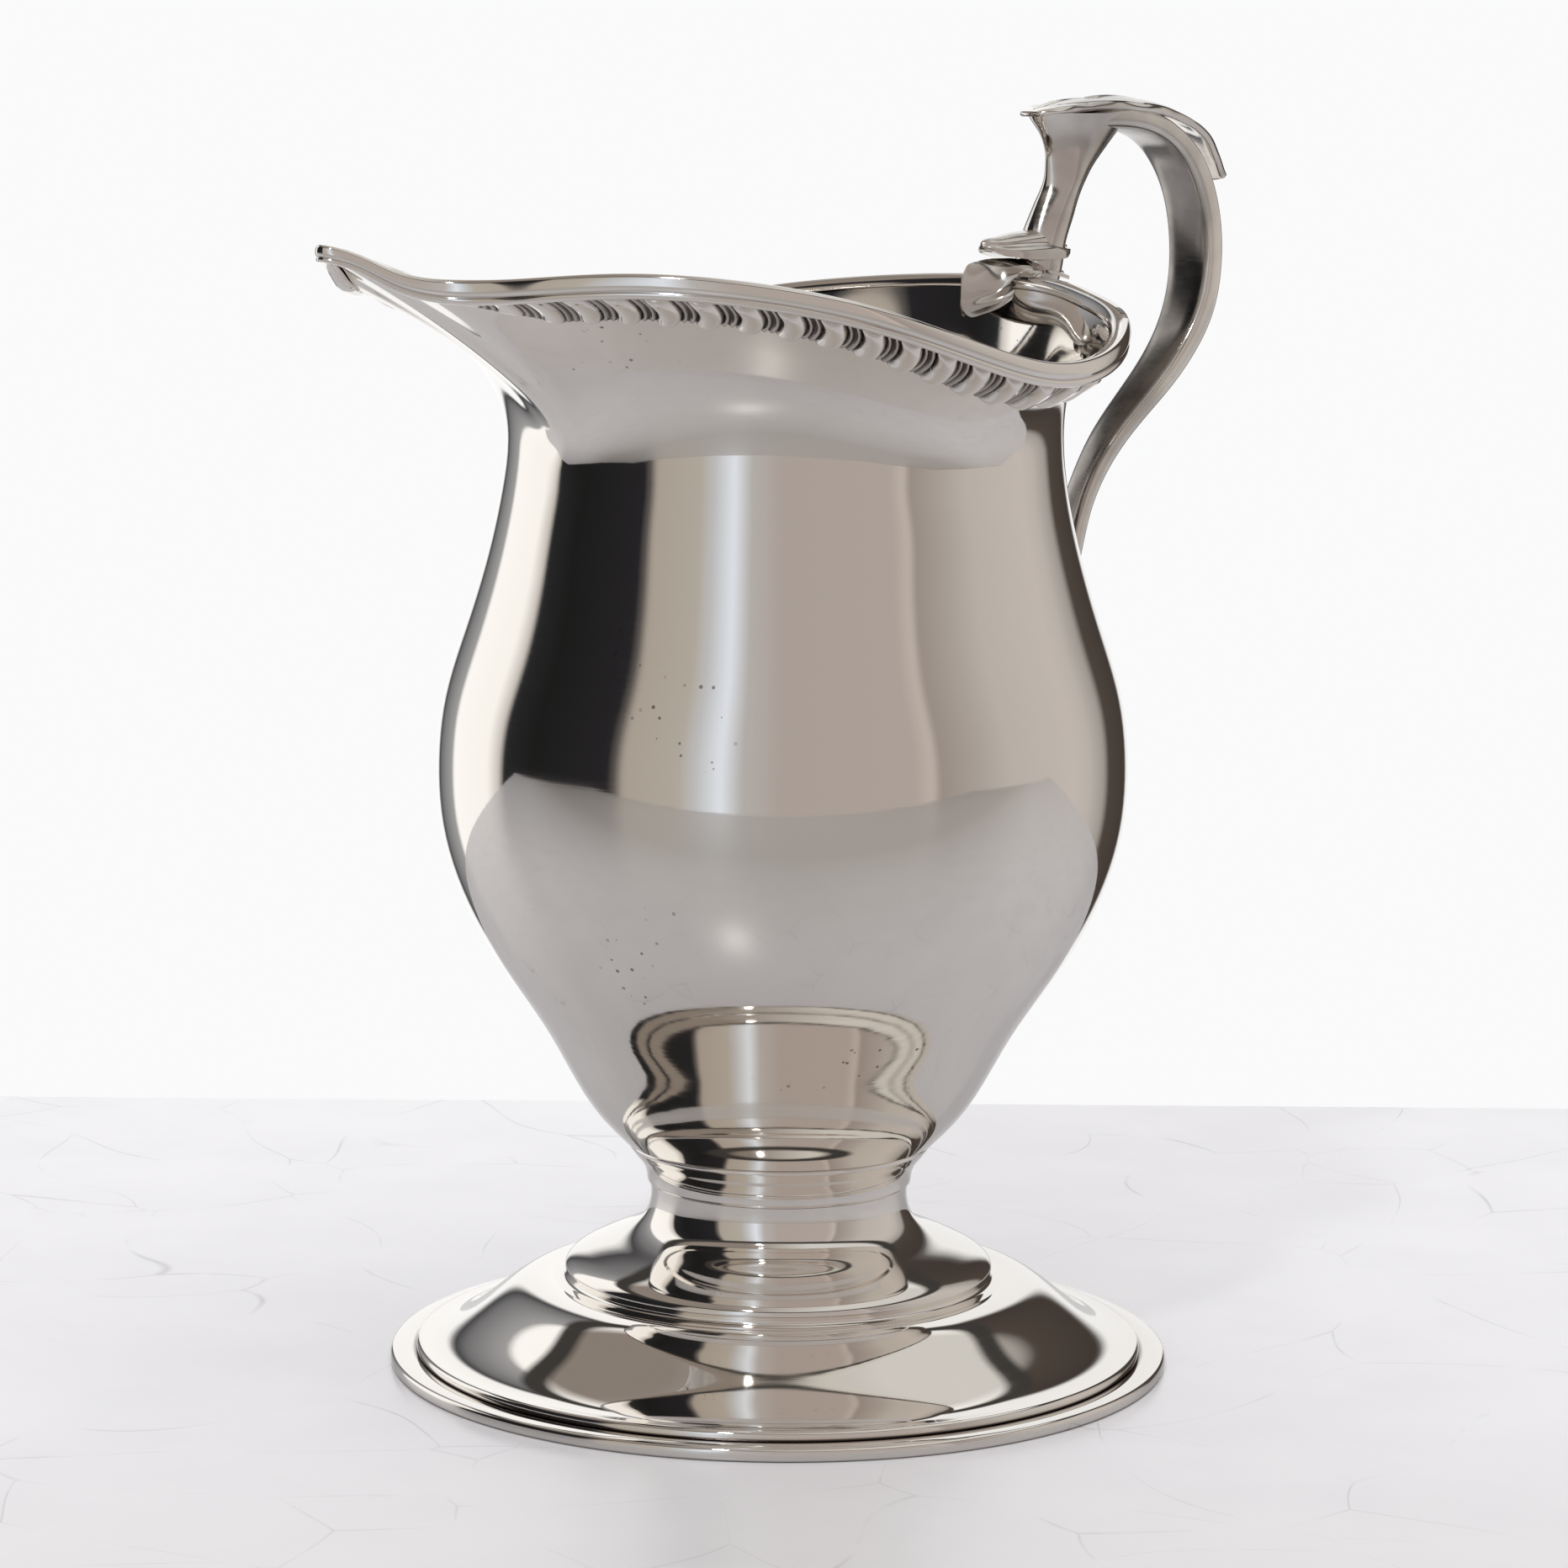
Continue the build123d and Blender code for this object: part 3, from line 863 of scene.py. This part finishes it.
    def build(self, name: str, side: int, tree: bpy.types.NodeTree) -> bpy.types.Object:
        """Raises the lobes on one half's strip.

        Args:
            name: the piece's name.
            side: 1 for the near half and -1 for the far half.
            tree: the lobe tree.

        Returns:
            The finished strip, as a plain mesh.
        """
        blank = self.blank(name + "_blank", side)
        modifier = blank.modifiers.new("lobes", "NODES")
        modifier.node_group = tree
        sockets = {s.name: s.identifier for s in tree.interface.items_tree if s.in_out == "INPUT"}
        for label, size in self.sizes().items():
            modifier[sockets[label]] = size
        bpy.context.view_layer.update()
        ready = blank.evaluated_get(bpy.context.evaluated_depsgraph_get())
        mesh = bpy.data.meshes.new_from_object(ready)
        bpy.data.objects.remove(blank)
        mesh.name = name
        return finish_mesh(name, mesh, self.crease_deg)


# ---------------------------------------------------------------- foot


@dataclass
class Foot:
    """The spun foot: a flat plate, a bulging dome, a trumpet with a rounded tier, and a collar.

    Each outline is radius and height.
    """

    plate_r: float = 34.5
    plate_h: float = 1.15
    hollow_r: float = 30.0
    dome_top: tuple[tuple[float, float], ...] = (
        (32.2, 1.4),
        (32.1, 1.82),
        (31.4, 1.98),
        (29.9, 2.25),
        (28.2, 3.1),
        (26.4, 4.4),
        (24.5, 5.9),
        (22.7, 7.0),
        (20.8, 7.46),
        (18.8, 7.3),
        (17.0, 7.1),
    )
    dome_under: tuple[tuple[float, float], ...] = (
        (17.0, 6.2),
        (18.6, 6.4),
        (20.8, 6.5),
        (22.3, 6.1),
        (24.0, 5.0),
        (26.0, 3.4),
        (27.8, 2.1),
        (29.4, 1.3),
        (30.6, 1.15),
        (31.9, 1.12),
        (32.15, 1.17),
    )
    stem_outside: tuple[tuple[float, float], ...] = (
        (11.42, 16.0),
        (11.36, 15.2),
        (11.5, 14.0),
        (12.1, 12.7),
        (13.4, 11.7),
        (15.2, 10.9),
        (17.0, 10.1),
        (18.2, 9.45),
        (18.85, 8.85),
        (19.02, 8.4),
        (18.92, 7.97),
        (18.98, 7.72),
        (19.4, 7.53),
        (20.8, 7.38),
    )
    stem_inside: tuple[tuple[float, float], ...] = (
        (19.6, 7.2),
        (17.6, 7.3),
        (15.9, 8.8),
        (13.6, 10.4),
        (11.6, 11.6),
        (10.6, 13.4),
        (10.42, 15.0),
        (10.45, 16.0),
    )
    collar_outside: tuple[tuple[float, float], ...] = (
        (10.45, 16.0),
        (11.3, 16.0),
        (11.62, 16.12),
        (11.72, 16.5),
        (11.85, 17.2),
        (12.3, 18.1),
        (12.85, 18.75),
        (13.1, 19.1),
        (13.28, 19.35),
        (13.3, 19.6),
        (13.12, 19.78),
    )
    collar_top: tuple[tuple[float, float], ...] = ((12.9, 19.86), (12.6, 19.9), (10.45, 19.9))
    # Tarnish lines lie where two pieces meet.
    dome_seam_z: float = 1.15
    dome_seam_r: float = 31.6
    collar_seam_z: float = 19.85
    seam_width: float = 0.12

    def plate(self) -> bpy.types.Object:
        """Turns the ring that the jug stands on.

        Returns:
            The plate.
        """
        r, h = self.plate_r, self.plate_h
        # Radius, height and tarnish of each point.
        stations = np.array(
            [
                (self.hollow_r, 0.0, 0.0),
                (r - 0.3, 0.0, 0.0),
                (r - 0.09, 0.09, 0.0),
                (r, 0.3, 0.0),
                (r, h - 0.34, 0.0),
                (r - 0.07, h - 0.12, 0.0),
                (r - 0.25, h, 0.0),
                (r - 1.9, h + 0.01, 0.05),
                (r - 2.2, h - 0.04, 0.8),
                (self.hollow_r + 0.2, h - 0.1, 0.9),
                (self.hollow_r, h - 0.3, 0.5),
            ]
        )
        return turned_piece("foot_plate", stations[:, :2], stations[:, 2], crease_deg=50)

    def dome(self) -> bpy.types.Object:
        """Turns the spun sheet between the plate and the tier.

        Returns:
            The dome.
        """
        outline = np.concatenate([smooth_path(self.dome_top, 90), smooth_path(self.dome_under, 60)])
        seam = soft_line(outline[:, 1], self.dome_seam_z, self.seam_width)
        return turned_piece("foot_dome", outline, seam * (outline[:, 0] > self.dome_seam_r))

    def stem(self) -> bpy.types.Object:
        """Turns the trumpet and its rounded tier.

        Returns:
            The stem.
        """
        outside, inside = smooth_path(self.stem_outside, 110), smooth_path(self.stem_inside, 40)
        return turned_piece("foot_stem", np.concatenate([outside, inside]))

    def collar(self) -> bpy.types.Object:
        """Turns the collar that holds the bowl.

        Returns:
            The collar.
        """
        outline = np.concatenate([smooth_path(self.collar_outside, 70), self.collar_top])
        seam = soft_line(outline[:, 1], self.collar_seam_z, self.seam_width)
        return turned_piece("foot_collar", outline, 0.7 * seam)

    def build(self, finish: bpy.types.Material) -> list[bpy.types.Object]:
        """Makes and dresses the four foot pieces.

        Args:
            finish: the silver of the foot.

        Returns:
            The pieces.
        """
        pieces = [self.plate(), self.dome(), self.stem(), self.collar()]
        return [put_on(piece, finish) for piece in pieces]


# ---------------------------------------------------------------- handle


def cast_bar(
    name: str,
    stations: tuple[tuple[float, ...], ...],
    steps: int,
    inner_dull: float = 0.0,
    level: bool = False,
    around: int = 48,
) -> bpy.types.Object:
    """Casts a bar along a path in the jug's middle plane.

    Args:
        name: the piece's name.
        stations: X, Z, half thickness, half width and squareness at points along the bar.
        steps: how many sections are drawn.
        inner_dull: how tarnished the face toward the jug is, from 0 to 1.
        level: whether the sections lie flat, rather than square to the path.
        around: how many points each section has.

    Returns:
        The bar, closed at both ends.
    """
    rows = smooth_path(stations, steps)
    ahead = np.gradient(rows[:, :2], axis=0)
    ahead /= np.linalg.norm(ahead, axis=1)[:, None]
    if level:
        ahead = np.tile([0.0, 1.0], (steps, 1))
    turn = np.linspace(0, FULL_TURN, around, endpoint=False)
    dull = np.tile(inner_dull * np.clip(2.5 * np.cos(turn) - 1.0, 0, 1), (steps, 1))
    rings = []
    for (x, z, thick, wide, square), (ax, az) in zip(rows, ahead):
        c, s = np.cos(turn), np.sin(turn)
        u = np.sign(c) * np.abs(c) ** (2 / square) * thick
        v = np.sign(s) * np.abs(s) ** (2 / square) * wide
        rings.append(np.column_stack([x + az * u, v, z - ax * u]))
    return shell_mesh(name, rings, **end_points(rings), marks={"tarnish": dull}, crease_deg=50)


@dataclass
class Leaf:
    """A thin cast leaf along a path in the middle plane, veined, with a scalloped edge."""

    name: str
    # X, Z of the top line, half width, thickness, and how far the edges drop.
    stations: tuple[tuple[float, float, float, float, float], ...]
    lobes: float = 4.0
    lobe_depth: float = 0.1
    vein_rise: float = 0.2
    # The scallops start past this share of the length and are full after as much again.
    plain_share: float = 0.12
    growth_share: float = 0.15
    length_steps: int = 120
    width_steps: int = 41

    def build(self) -> bpy.types.Object:
        """Makes the leaf as a closed thin solid.

        Returns:
            The leaf.
        """
        rows = smooth_path(self.stations, self.length_steps)
        ahead = np.gradient(rows[:, :2], axis=0)
        ahead /= np.linalg.norm(ahead, axis=1)[:, None]
        t = np.linspace(-1, 1, self.width_steps)
        share = np.linspace(0, 1, self.length_steps)
        midrib = soft_line(t, 0.0, 0.1)
        rings = []
        for (x, z, wide, thick, drop), (ax, az), s in zip(rows, ahead, share):
            grown = np.clip((s - self.plain_share) / self.growth_share, 0, 1)
            notch = (0.5 - 0.5 * np.cos(FULL_TURN * self.lobes * s)) ** 2
            half = max(wide, 0.05) * (1 - grown * self.lobe_depth * notch)
            slant = self.lobes * s - 0.9 * np.abs(t)
            vein = np.abs(np.sin(math.pi * slant)) ** 0.5 - 1.0
            relief = self.vein_rise * (vein + 0.9 * midrib) * (1 - t**6) * np.clip(s / 0.1, 0, 1)
            sink = drop * t**2
            edge = np.sqrt(np.clip(1 - t**8, 0, 1))
            top = relief - sink - thick * 0.5 * (1 - edge)
            under = -sink - thick * (0.5 + 0.5 * edge)
            y = np.concatenate([t, t[::-1]]) * half
            lift = np.concatenate([top, under[::-1]])
            rings.append(np.column_stack([x - az * lift, y, z + ax * lift]))
        return shell_mesh(self.name, rings, **end_points(rings), crease_deg=50)


@dataclass
class Hood:
    """A solid casting drawn as arched sections across X, with a rolled bead along its lower edges."""

    name: str
    # X, top, bottom, half width, and how pointed the arch is (1 a roof, 2 round).
    stations: tuple[tuple[float, float, float, float, float], ...]
    bead: float = 0.0
    steps: int = 90
    around: int = 56
    under_points: int = 13

    def build(self) -> bpy.types.Object:
        """Makes the hood.

        Returns:
            The hood, closed at both ends.
        """
        table = np.array(self.stations)
        rows = SmoothCurve(table[:, 0], table)(np.linspace(table[0, 0], table[-1, 0], self.steps))
        t = np.linspace(-1, 1, self.around)
        under = np.linspace(1, -1, self.under_points + 2)[1:-1]
        # A bead stands near each edge with a groove above it.
        swell = self.bead * (soft_line(np.abs(t), 0.88, 0.07) - 0.5 * soft_line(np.abs(t), 0.72, 0.06))
        rings = []
        for x, top, low, wide, arch in rows:
            half = max(wide, 0.03)
            roll = swell * min(1.0, wide / 1.2)
            y = np.sign(t) * (half * np.abs(t) ** 0.9 + roll)
            z = top - (top - low) * np.abs(t) ** arch + roll * 0.4
            y = np.concatenate([y, under * half * 0.9])
            z = np.concatenate([z, np.full(self.under_points, low + (top - low) * 0.04)])
            rings.append(np.column_stack([np.full(len(y), x), y, z]))
        return shell_mesh(self.name, rings, **end_points(rings), crease_deg=50)


@dataclass
class Handle:
    """The cast handle: tongue, knuckle, stem, strap, leaf and the pad at its lower end."""

    # X, Z, half thickness, half width and squareness (2 an oval, more a slab) along each bar.
    strap: tuple[tuple[float, ...], ...] = (
        (34.0, 109.3, 0.9, 2.2, 3.0),
        (37.5, 109.65, 1.1, 2.5, 3.2),
        (41.0, 109.35, 1.15, 2.7, 3.6),
        (44.2, 108.1, 1.1, 2.8, 4.0),
        (46.9, 105.8, 1.2, 2.85, 4.0),
        (48.7, 102.6, 1.2, 2.85, 4.0),
        (49.55, 99.0, 1.2, 2.85, 4.0),
        (49.6, 95.5, 1.2, 2.8, 4.0),
        (48.75, 91.8, 1.2, 2.7, 4.0),
        (47.0, 88.7, 1.15, 2.55, 3.8),
        (44.6, 85.9, 1.1, 2.4, 3.6),
        (41.5, 83.0, 1.0, 2.2, 3.4),
        (38.8, 80.3, 0.95, 1.95, 3.2),
        (36.6, 77.3, 0.9, 1.7, 3.0),
        (35.0, 74.1, 0.85, 1.6, 3.0),
        (34.0, 70.8, 0.85, 1.6, 3.0),
        (33.0, 67.6, 0.85, 1.6, 3.0),
        (31.4, 65.2, 0.9, 1.7, 3.0),
        (29.3, 63.8, 0.9, 1.8, 3.0),
    )
    stem: tuple[tuple[float, ...], ...] = (
        (29.6, 94.4, 1.8, 1.9, 2.0),
        (29.8, 96.4, 2.15, 2.2, 2.0),
        (30.2, 98.4, 2.25, 2.1, 1.9),
        (31.1, 100.5, 2.35, 1.95, 1.75),
        (32.05, 102.5, 2.3, 1.85, 1.6),
        (32.9, 104.1, 2.45, 1.8, 1.5),
        (33.4, 105.3, 2.85, 1.8, 1.5),
        (33.9, 106.4, 3.4, 1.85, 1.5),
        (34.2, 107.3, 4.0, 1.95, 1.5),
        (34.4, 108.1, 4.6, 2.1, 1.55),
        (34.6, 109.1, 5.6, 2.4, 1.7),
        (35.0, 110.0, 6.6, 2.7, 2.0),
    )
    leaf: Leaf = field(
        default_factory=lambda: Leaf(
            "leaf_cap",
            (
                (28.3, 110.15, 1.3, 0.5, 0.05),
                (29.1, 110.45, 2.1, 0.6, 0.1),
                (31.5, 110.95, 2.55, 0.9, 0.2),
                (35.0, 111.35, 2.6, 1.0, 0.3),
                (39.0, 111.45, 2.9, 1.0, 0.4),
                (43.0, 111.0, 3.2, 1.0, 0.5),
                (46.3, 110.0, 3.2, 1.0, 0.5),
                (48.9, 108.3, 3.1, 1.0, 0.4),
                (50.6, 106.3, 2.8, 1.0, 0.3),
                (51.5, 104.7, 2.4, 0.95, 0.2),
                (51.75, 104.1, 1.7, 0.8, 0.1),
                (51.85, 103.8, 0.2, 0.5, 0.0),
            ),
        )
    )
    tongue: Hood = field(
        default_factory=lambda: Hood(
            "rim_tongue",
            (
                (20.4, 95.4, 92.7, 0.08, 1.3),
                (20.9, 96.3, 92.05, 0.4, 1.3),
                (21.8, 96.8, 92.1, 0.95, 1.3),
                (23.0, 97.0, 92.6, 1.75, 1.3),
                (24.1, 97.1, 93.6, 2.8, 1.35),
                (25.1, 97.1, 95.1, 4.2, 1.45),
                (26.2, 97.1, 95.8, 4.4, 1.5),
                (27.6, 97.0, 95.8, 3.4, 1.6),
                (29.4, 96.8, 95.6, 2.6, 1.7),
                (31.8, 96.2, 95.1, 1.9, 1.9),
            ),
            bead=0.26,
        )
    )
    knuckle: Hood = field(
        default_factory=lambda: Hood(
            "handle_knuckle",
            (
                (22.7, 98.5, 98.1, 0.15, 2.2),
                (23.1, 98.75, 97.85, 0.75, 2.4),
                (24.2, 98.95, 97.45, 1.5, 2.6),
                (26.0, 99.25, 97.1, 2.2, 2.8),
                (28.0, 99.5, 97.0, 2.5, 2.8),
                (30.0, 99.6, 97.0, 2.5, 2.6),
                (31.4, 99.2, 97.1, 2.1, 2.4),
                (32.4, 98.5, 97.5, 1.4, 2.2),
            ),
            bead=0.16,
        )
    )
    pad_z: float = 63.8
    pad_r: float = 3.0
    # The bowl's radius at this height under the pad, and how fast it falls above it.
    wall_z: float = 60.0
    wall_r: float = 29.6
    wall_lean: float = 0.31
    pad_seat: float = 0.35
    # Share of the pad's radius, and how far each ring stands off the bowl.
    pad_rings: tuple[tuple[float, float], ...] = (
        (1.0, -0.5),
        (1.0, 0.25),
        (0.97, 0.5),
        (0.88, 0.68),
        (0.6, 0.85),
        (0.3, 0.95),
    )
    # A point inside the bowl's wall closes the pad's back.
    pad_core_x: float = 27.6
    # How tarnished the strap's inner face is.
    strap_dull: float = 0.55

    def pad(self) -> bpy.types.Object:
        """Makes the small domed pad that the strap's lower end is soldered to.

        Returns:
            The pad.
        """
        turn = np.linspace(0, FULL_TURN, 48, endpoint=False)
        rings = []
        for share, rise in self.pad_rings:
            y = np.cos(turn) * self.pad_r * share
            z = self.pad_z + np.sin(turn) * self.pad_r * share
            wall = self.wall_r - self.wall_lean * (z - self.wall_z)
            rings.append(np.column_stack([np.sqrt(wall**2 - y**2) - self.pad_seat + rise, y, z]))
        first = np.array([self.pad_core_x, 0, self.pad_z])
        last = np.array([rings[-1][:, 0].max(), 0, self.pad_z])
        return shell_mesh("handle_pad", rings, first=first, last=last, crease_deg=60)

    def build(self, finish: bpy.types.Material) -> list[bpy.types.Object]:
        """Makes and dresses the six handle pieces.

        Args:
            finish: the silver of the handle.

        Returns:
            The pieces.
        """
        pieces = [
            self.tongue.build(),
            self.knuckle.build(),
            cast_bar("handle_stem", self.stem, 80, level=True),
            cast_bar("handle_strap", self.strap, 150, inner_dull=self.strap_dull),
            self.leaf.build(),
            self.pad(),
        ]
        return [put_on(piece, finish) for piece in pieces]


# ---------------------------------------------------------------- studio


@dataclass
class Studio:
    """A pale marble table, a plain pale backdrop, a soft light and the camera."""

    heading_deg: float = 40.0
    camera_range: float = 430.0
    camera_height: float = 115.37
    tilt_deg: float = 8.438
    roll_deg: float = 0.45
    lens_mm: float = 113.51
    shift_x: float = 0.00119
    table_back: float = 107.0
    table_front: float = 445.0
    table_side: float = 900.0
    backdrop: str = "#FAFAFB"
    # How much brighter the room is to the silver than the tones below.
    room_gain: float = 1.15
    # The lights' sizes and places are in metres and their powers in watts.
    overhead_size: float = 1.6
    overhead_height: float = 0.9
    overhead_power: float = 8.2
    lamp_aside_deg: float = -20.0
    lamp_rise_deg: float = 50.0
    lamp_range: float = 0.95
    lamp_size: float = 0.06
    lamp_power: float = 1.0
    # The room above eye level, as the silver reflects it.
    shade_rail: str = "#3A3836"
    ceiling_left: str = "#857C75"
    ceiling_right: str = "#C9C7C3"
    ceiling_behind: str = "#F6F5F3"
    # Degrees to the right of the camera, as the jug sees it, and the tone there.
    room: tuple[tuple[float, str], ...] = (
        (-180, "#F6F6F6"),
        (-164, "#F0F0F0"),
        (-161, "#3A3A3C"),
        (-156, "#6E6E70"),
        (-142, "#9A9A9B"),
        (-139, "#F8F7F5"),
        (-114, "#F4F3F0"),
        (-107, "#C4C0BC"),
        (-104, "#262628"),
        (-90, "#1C1C1C"),
        (-59, "#242326"),
        (-56, "#5A5654"),
        (-53, "#A59D94"),
        (-34, "#ACA69E"),
        (-28, "#B9BBBF"),
        (-20, "#D9E0EA"),
        (-13, "#AFACAB"),
        (0, "#A79E99"),
        (44, "#A9A09B"),
        (50, "#B8AFA9"),
        (53, "#968D88"),
        (68, "#A69F9A"),
        (80, "#B4AFA9"),
        (112, "#BDB6B1"),
        (122, "#B5AFAA"),
        (133, "#9A9692"),
        (138, "#4A423D"),
        (160, "#3E3733"),
        (164, "#E8E8E8"),
    )

    def forward(self) -> tuple[float, float]:
        """Returns the camera's heading in plan."""
        a = math.radians(self.heading_deg)
        return math.sin(a), math.cos(a)

    def camera(self) -> bpy.types.Object:
        """Sets up the camera.

        Returns:
            The camera.
        """
        fx, fy = self.forward()
        data = bpy.data.cameras.new("studio_camera")
        data.lens = self.lens_mm
        data.sensor_width = 36.0
        data.shift_x = self.shift_x
        data.clip_start = 0.01
        camera = bpy.data.objects.new("studio_camera", data)
        bpy.context.scene.collection.objects.link(camera)
        tilt = math.radians(self.tilt_deg)
        look = Vector((fx * math.cos(tilt), fy * math.cos(tilt), -math.sin(tilt)))
        right = Vector((fy, -fx, 0.0))
        up = right.cross(look)
        turn = Matrix((right, up, -look)).transposed().to_4x4()
        place = Vector((-fx * self.camera_range, -fy * self.camera_range, self.camera_height)) * MM
        roll = Matrix.Rotation(math.radians(self.roll_deg), 4, "Z")
        camera.matrix_world = Matrix.Translation(place) @ turn @ roll
        bpy.context.scene.camera = camera
        return camera

    def table(self) -> bpy.types.Object:
        """Lays the marble table top.

        Returns:
            The table.
        """
        fx, fy = self.forward()
        corners = []
        for ahead, side in (
            (self.table_back, -self.table_side),
            (self.table_back, self.table_side),
            (-self.table_front, self.table_side),
            (-self.table_front, -self.table_side),
        ):
            corners.append((MM * (fx * ahead + fy * side), MM * (fy * ahead - fx * side), 0.0))
        mesh = bpy.data.meshes.new("marble_table")
        mesh.from_pydata(corners, [], [(3, 2, 1, 0)])
        table = bpy.data.objects.new("marble_table", mesh)
        bpy.context.scene.collection.objects.link(table)
        table.data.materials.append(HonedMarble().build(self.forward()))
        if mesh.polygons[0].normal.z < 0:
            mesh.flip_normals()
        return table

    def surroundings(self) -> None:
        """Makes the plain backdrop, and the dim studio that the silver reflects."""
        world = bpy.data.worlds.new("studio")
        bpy.context.scene.world = world
        tree = new_tree(world)
        fx, fy = self.forward()
        look = add_node(tree, "ShaderNodeTexCoord").outputs["Generated"]
        # How far a look goes to the right, back to the camera, away from it, and up.
        ways = ((fy, -fx, 0.0), (-fx, -fy, 0.0), (fx, fy, 0.0), (0.0, 0.0, 1.0))
        aside, back, away, height = (
            add_node(tree, "ShaderNodeVectorMath", (look, way), operation="DOT_PRODUCT").outputs["Value"]
            for way in ways
        )
        turn = add_node(tree, "ShaderNodeMath", (aside, back), operation="ARCTAN2")
        share = add_node(tree, "ShaderNodeMapRange", (turn, -math.pi, math.pi))
        ramp = add_node(tree, "ShaderNodeValToRGB", (share,))
        stops = ramp.color_ramp.elements
        while len(stops) > 1:
            stops.remove(stops[-1])
        for number, (degrees, tone) in enumerate(self.room):
            place = (degrees + 180) / 360
            stop = stops[0] if number == 0 else stops.new(place)
            stop.position = place
            stop.color = linear(tone)
        # A dark rail runs round above the walls, and the ceiling starts over it.
        over_walls = add_node(tree, "ShaderNodeMapRange", (height, 0.62, 0.65))
        tones = {"Factor": over_walls, 6: ramp, 7: linear(self.shade_rail)}
        walls = add_node(tree, "ShaderNodeMix", tones, data_type="RGBA").outputs[2]
        rightward = add_node(tree, "ShaderNodeMapRange", (aside, -0.35, 0.35))
        tones = {"Factor": rightward, 6: linear(self.ceiling_left), 7: linear(self.ceiling_right)}
        near = add_node(tree, "ShaderNodeMix", tones, data_type="RGBA").outputs[2]
        beyond = add_node(tree, "ShaderNodeMapRange", (away, 0.5, 0.65))
        tones = {"Factor": beyond, 6: near, 7: linear(self.ceiling_behind)}
        above = add_node(tree, "ShaderNodeMix", tones, data_type="RGBA").outputs[2]
        upward = add_node(tree, "ShaderNodeMapRange", (height, 0.7, 0.73))
        tones = {"Factor": upward, 6: walls, 7: above}
        studio = add_node(tree, "ShaderNodeMix", tones, data_type="RGBA").outputs[2]
        seen = add_node(tree, "ShaderNodeLightPath").outputs["Is Camera Ray"]
        tones = {"Factor": seen, 6: studio, 7: linear(self.backdrop)}
        shown = add_node(tree, "ShaderNodeMix", tones, data_type="RGBA").outputs[2]
        power = add_node(tree, "ShaderNodeMapRange", (seen, 0.0, 1.0, self.room_gain, 1.0))
        light = add_node(tree, "ShaderNodeBackground", {"Color": shown, "Strength": power})
        add_node(tree, "ShaderNodeOutputWorld", {"Surface": light})

    def lamp(self) -> bpy.types.Object:
        """Hangs the soft lamp above and to the left of the camera.

        Returns:
            The lamp.
        """
        fx, fy = self.forward()
        aside, rise = math.radians(self.lamp_aside_deg), math.radians(self.lamp_rise_deg)
        flat, up = self.lamp_range * math.cos(rise), self.lamp_range * math.sin(rise)
        toward, right = math.cos(aside) * flat, math.sin(aside) * flat
        place = Vector((-fx * toward + fy * right, -fy * toward - fx * right, up))
        data = bpy.data.lights.new("soft_lamp", "AREA")
        data.shape = "DISK"
        data.size = self.lamp_size
        data.energy = self.lamp_power
        lamp = bpy.data.objects.new("soft_lamp", data)
        bpy.context.scene.collection.objects.link(lamp)
        lamp.matrix_world = Matrix.Translation(place) @ place.to_track_quat("Z", "Y").to_matrix().to_4x4()
        return lamp

    def overhead(self) -> bpy.types.Object:
        """Hangs the wide soft light that only the table catches.

        Returns:
            The light.
        """
        data = bpy.data.lights.new("soft_overhead", "AREA")
        data.size = self.overhead_size
        data.energy = self.overhead_power
        light = bpy.data.objects.new("soft_overhead", data)
        bpy.context.scene.collection.objects.link(light)
        light.location = (0.0, 0.0, self.overhead_height)
        light.visible_glossy = False
        light.visible_camera = False
        return light

    def build(self) -> None:
        """Sets up the whole studio."""
        scene = bpy.context.scene
        scene.view_settings.view_transform = "Standard"
        self.table()
        self.surroundings()
        self.lamp()
        self.overhead()
        self.camera()


# ---------------------------------------------------------------- the jug


@dataclass
class CreamJug:
    """The whole jug, one class for each of its sub-assemblies."""

    rim: RimLine = field(default_factory=RimLine)

    def build(self) -> None:
        """Makes, dresses and mounts every piece."""
        bowl_silver = SterlingSilver("polished_sterling_silver_bowl", pits=0.7)
        trim_silver = SterlingSilver(
            "polished_sterling_silver_trim", tarnish="#3E3430", hairline_depth_mm=0.0008
        )
        foot_silver = SterlingSilver("polished_sterling_silver_foot", hairline_depth_mm=0.0006)
        cast_silver = SterlingSilver(
            "polished_sterling_silver_casting",
            tarnish="#4A413C",
            roughness=0.06,
            roughness_spread=0.08,
            # Painted dimming in clouds darkens the casting in place of its dark reflections.
            painted_dimming=0.6,
        )
        trim = trim_silver.build()
        bowl = Bowl(self.rim)
        put_on(bowl.build(), bowl_silver.build())
        put_on(RimMoulding(self.rim).build(), trim)
        border = GadroonBorder(self.rim, bowl)
        tree = border.lobe_tree(trim)
        for name, side in (("gadroon_border_near", 1), ("gadroon_border_far", -1)):
            put_on(border.build(name, side, tree), trim)
        Foot().build(foot_silver.build())
        Handle().build(cast_silver.build())


def main() -> None:
    """Builds the jug and its studio."""
    logging.basicConfig(level=logging.INFO, format="%(name)s: %(message)s")
    CreamJug().build()
    Studio().build()


if __name__ == "__main__":
    main()
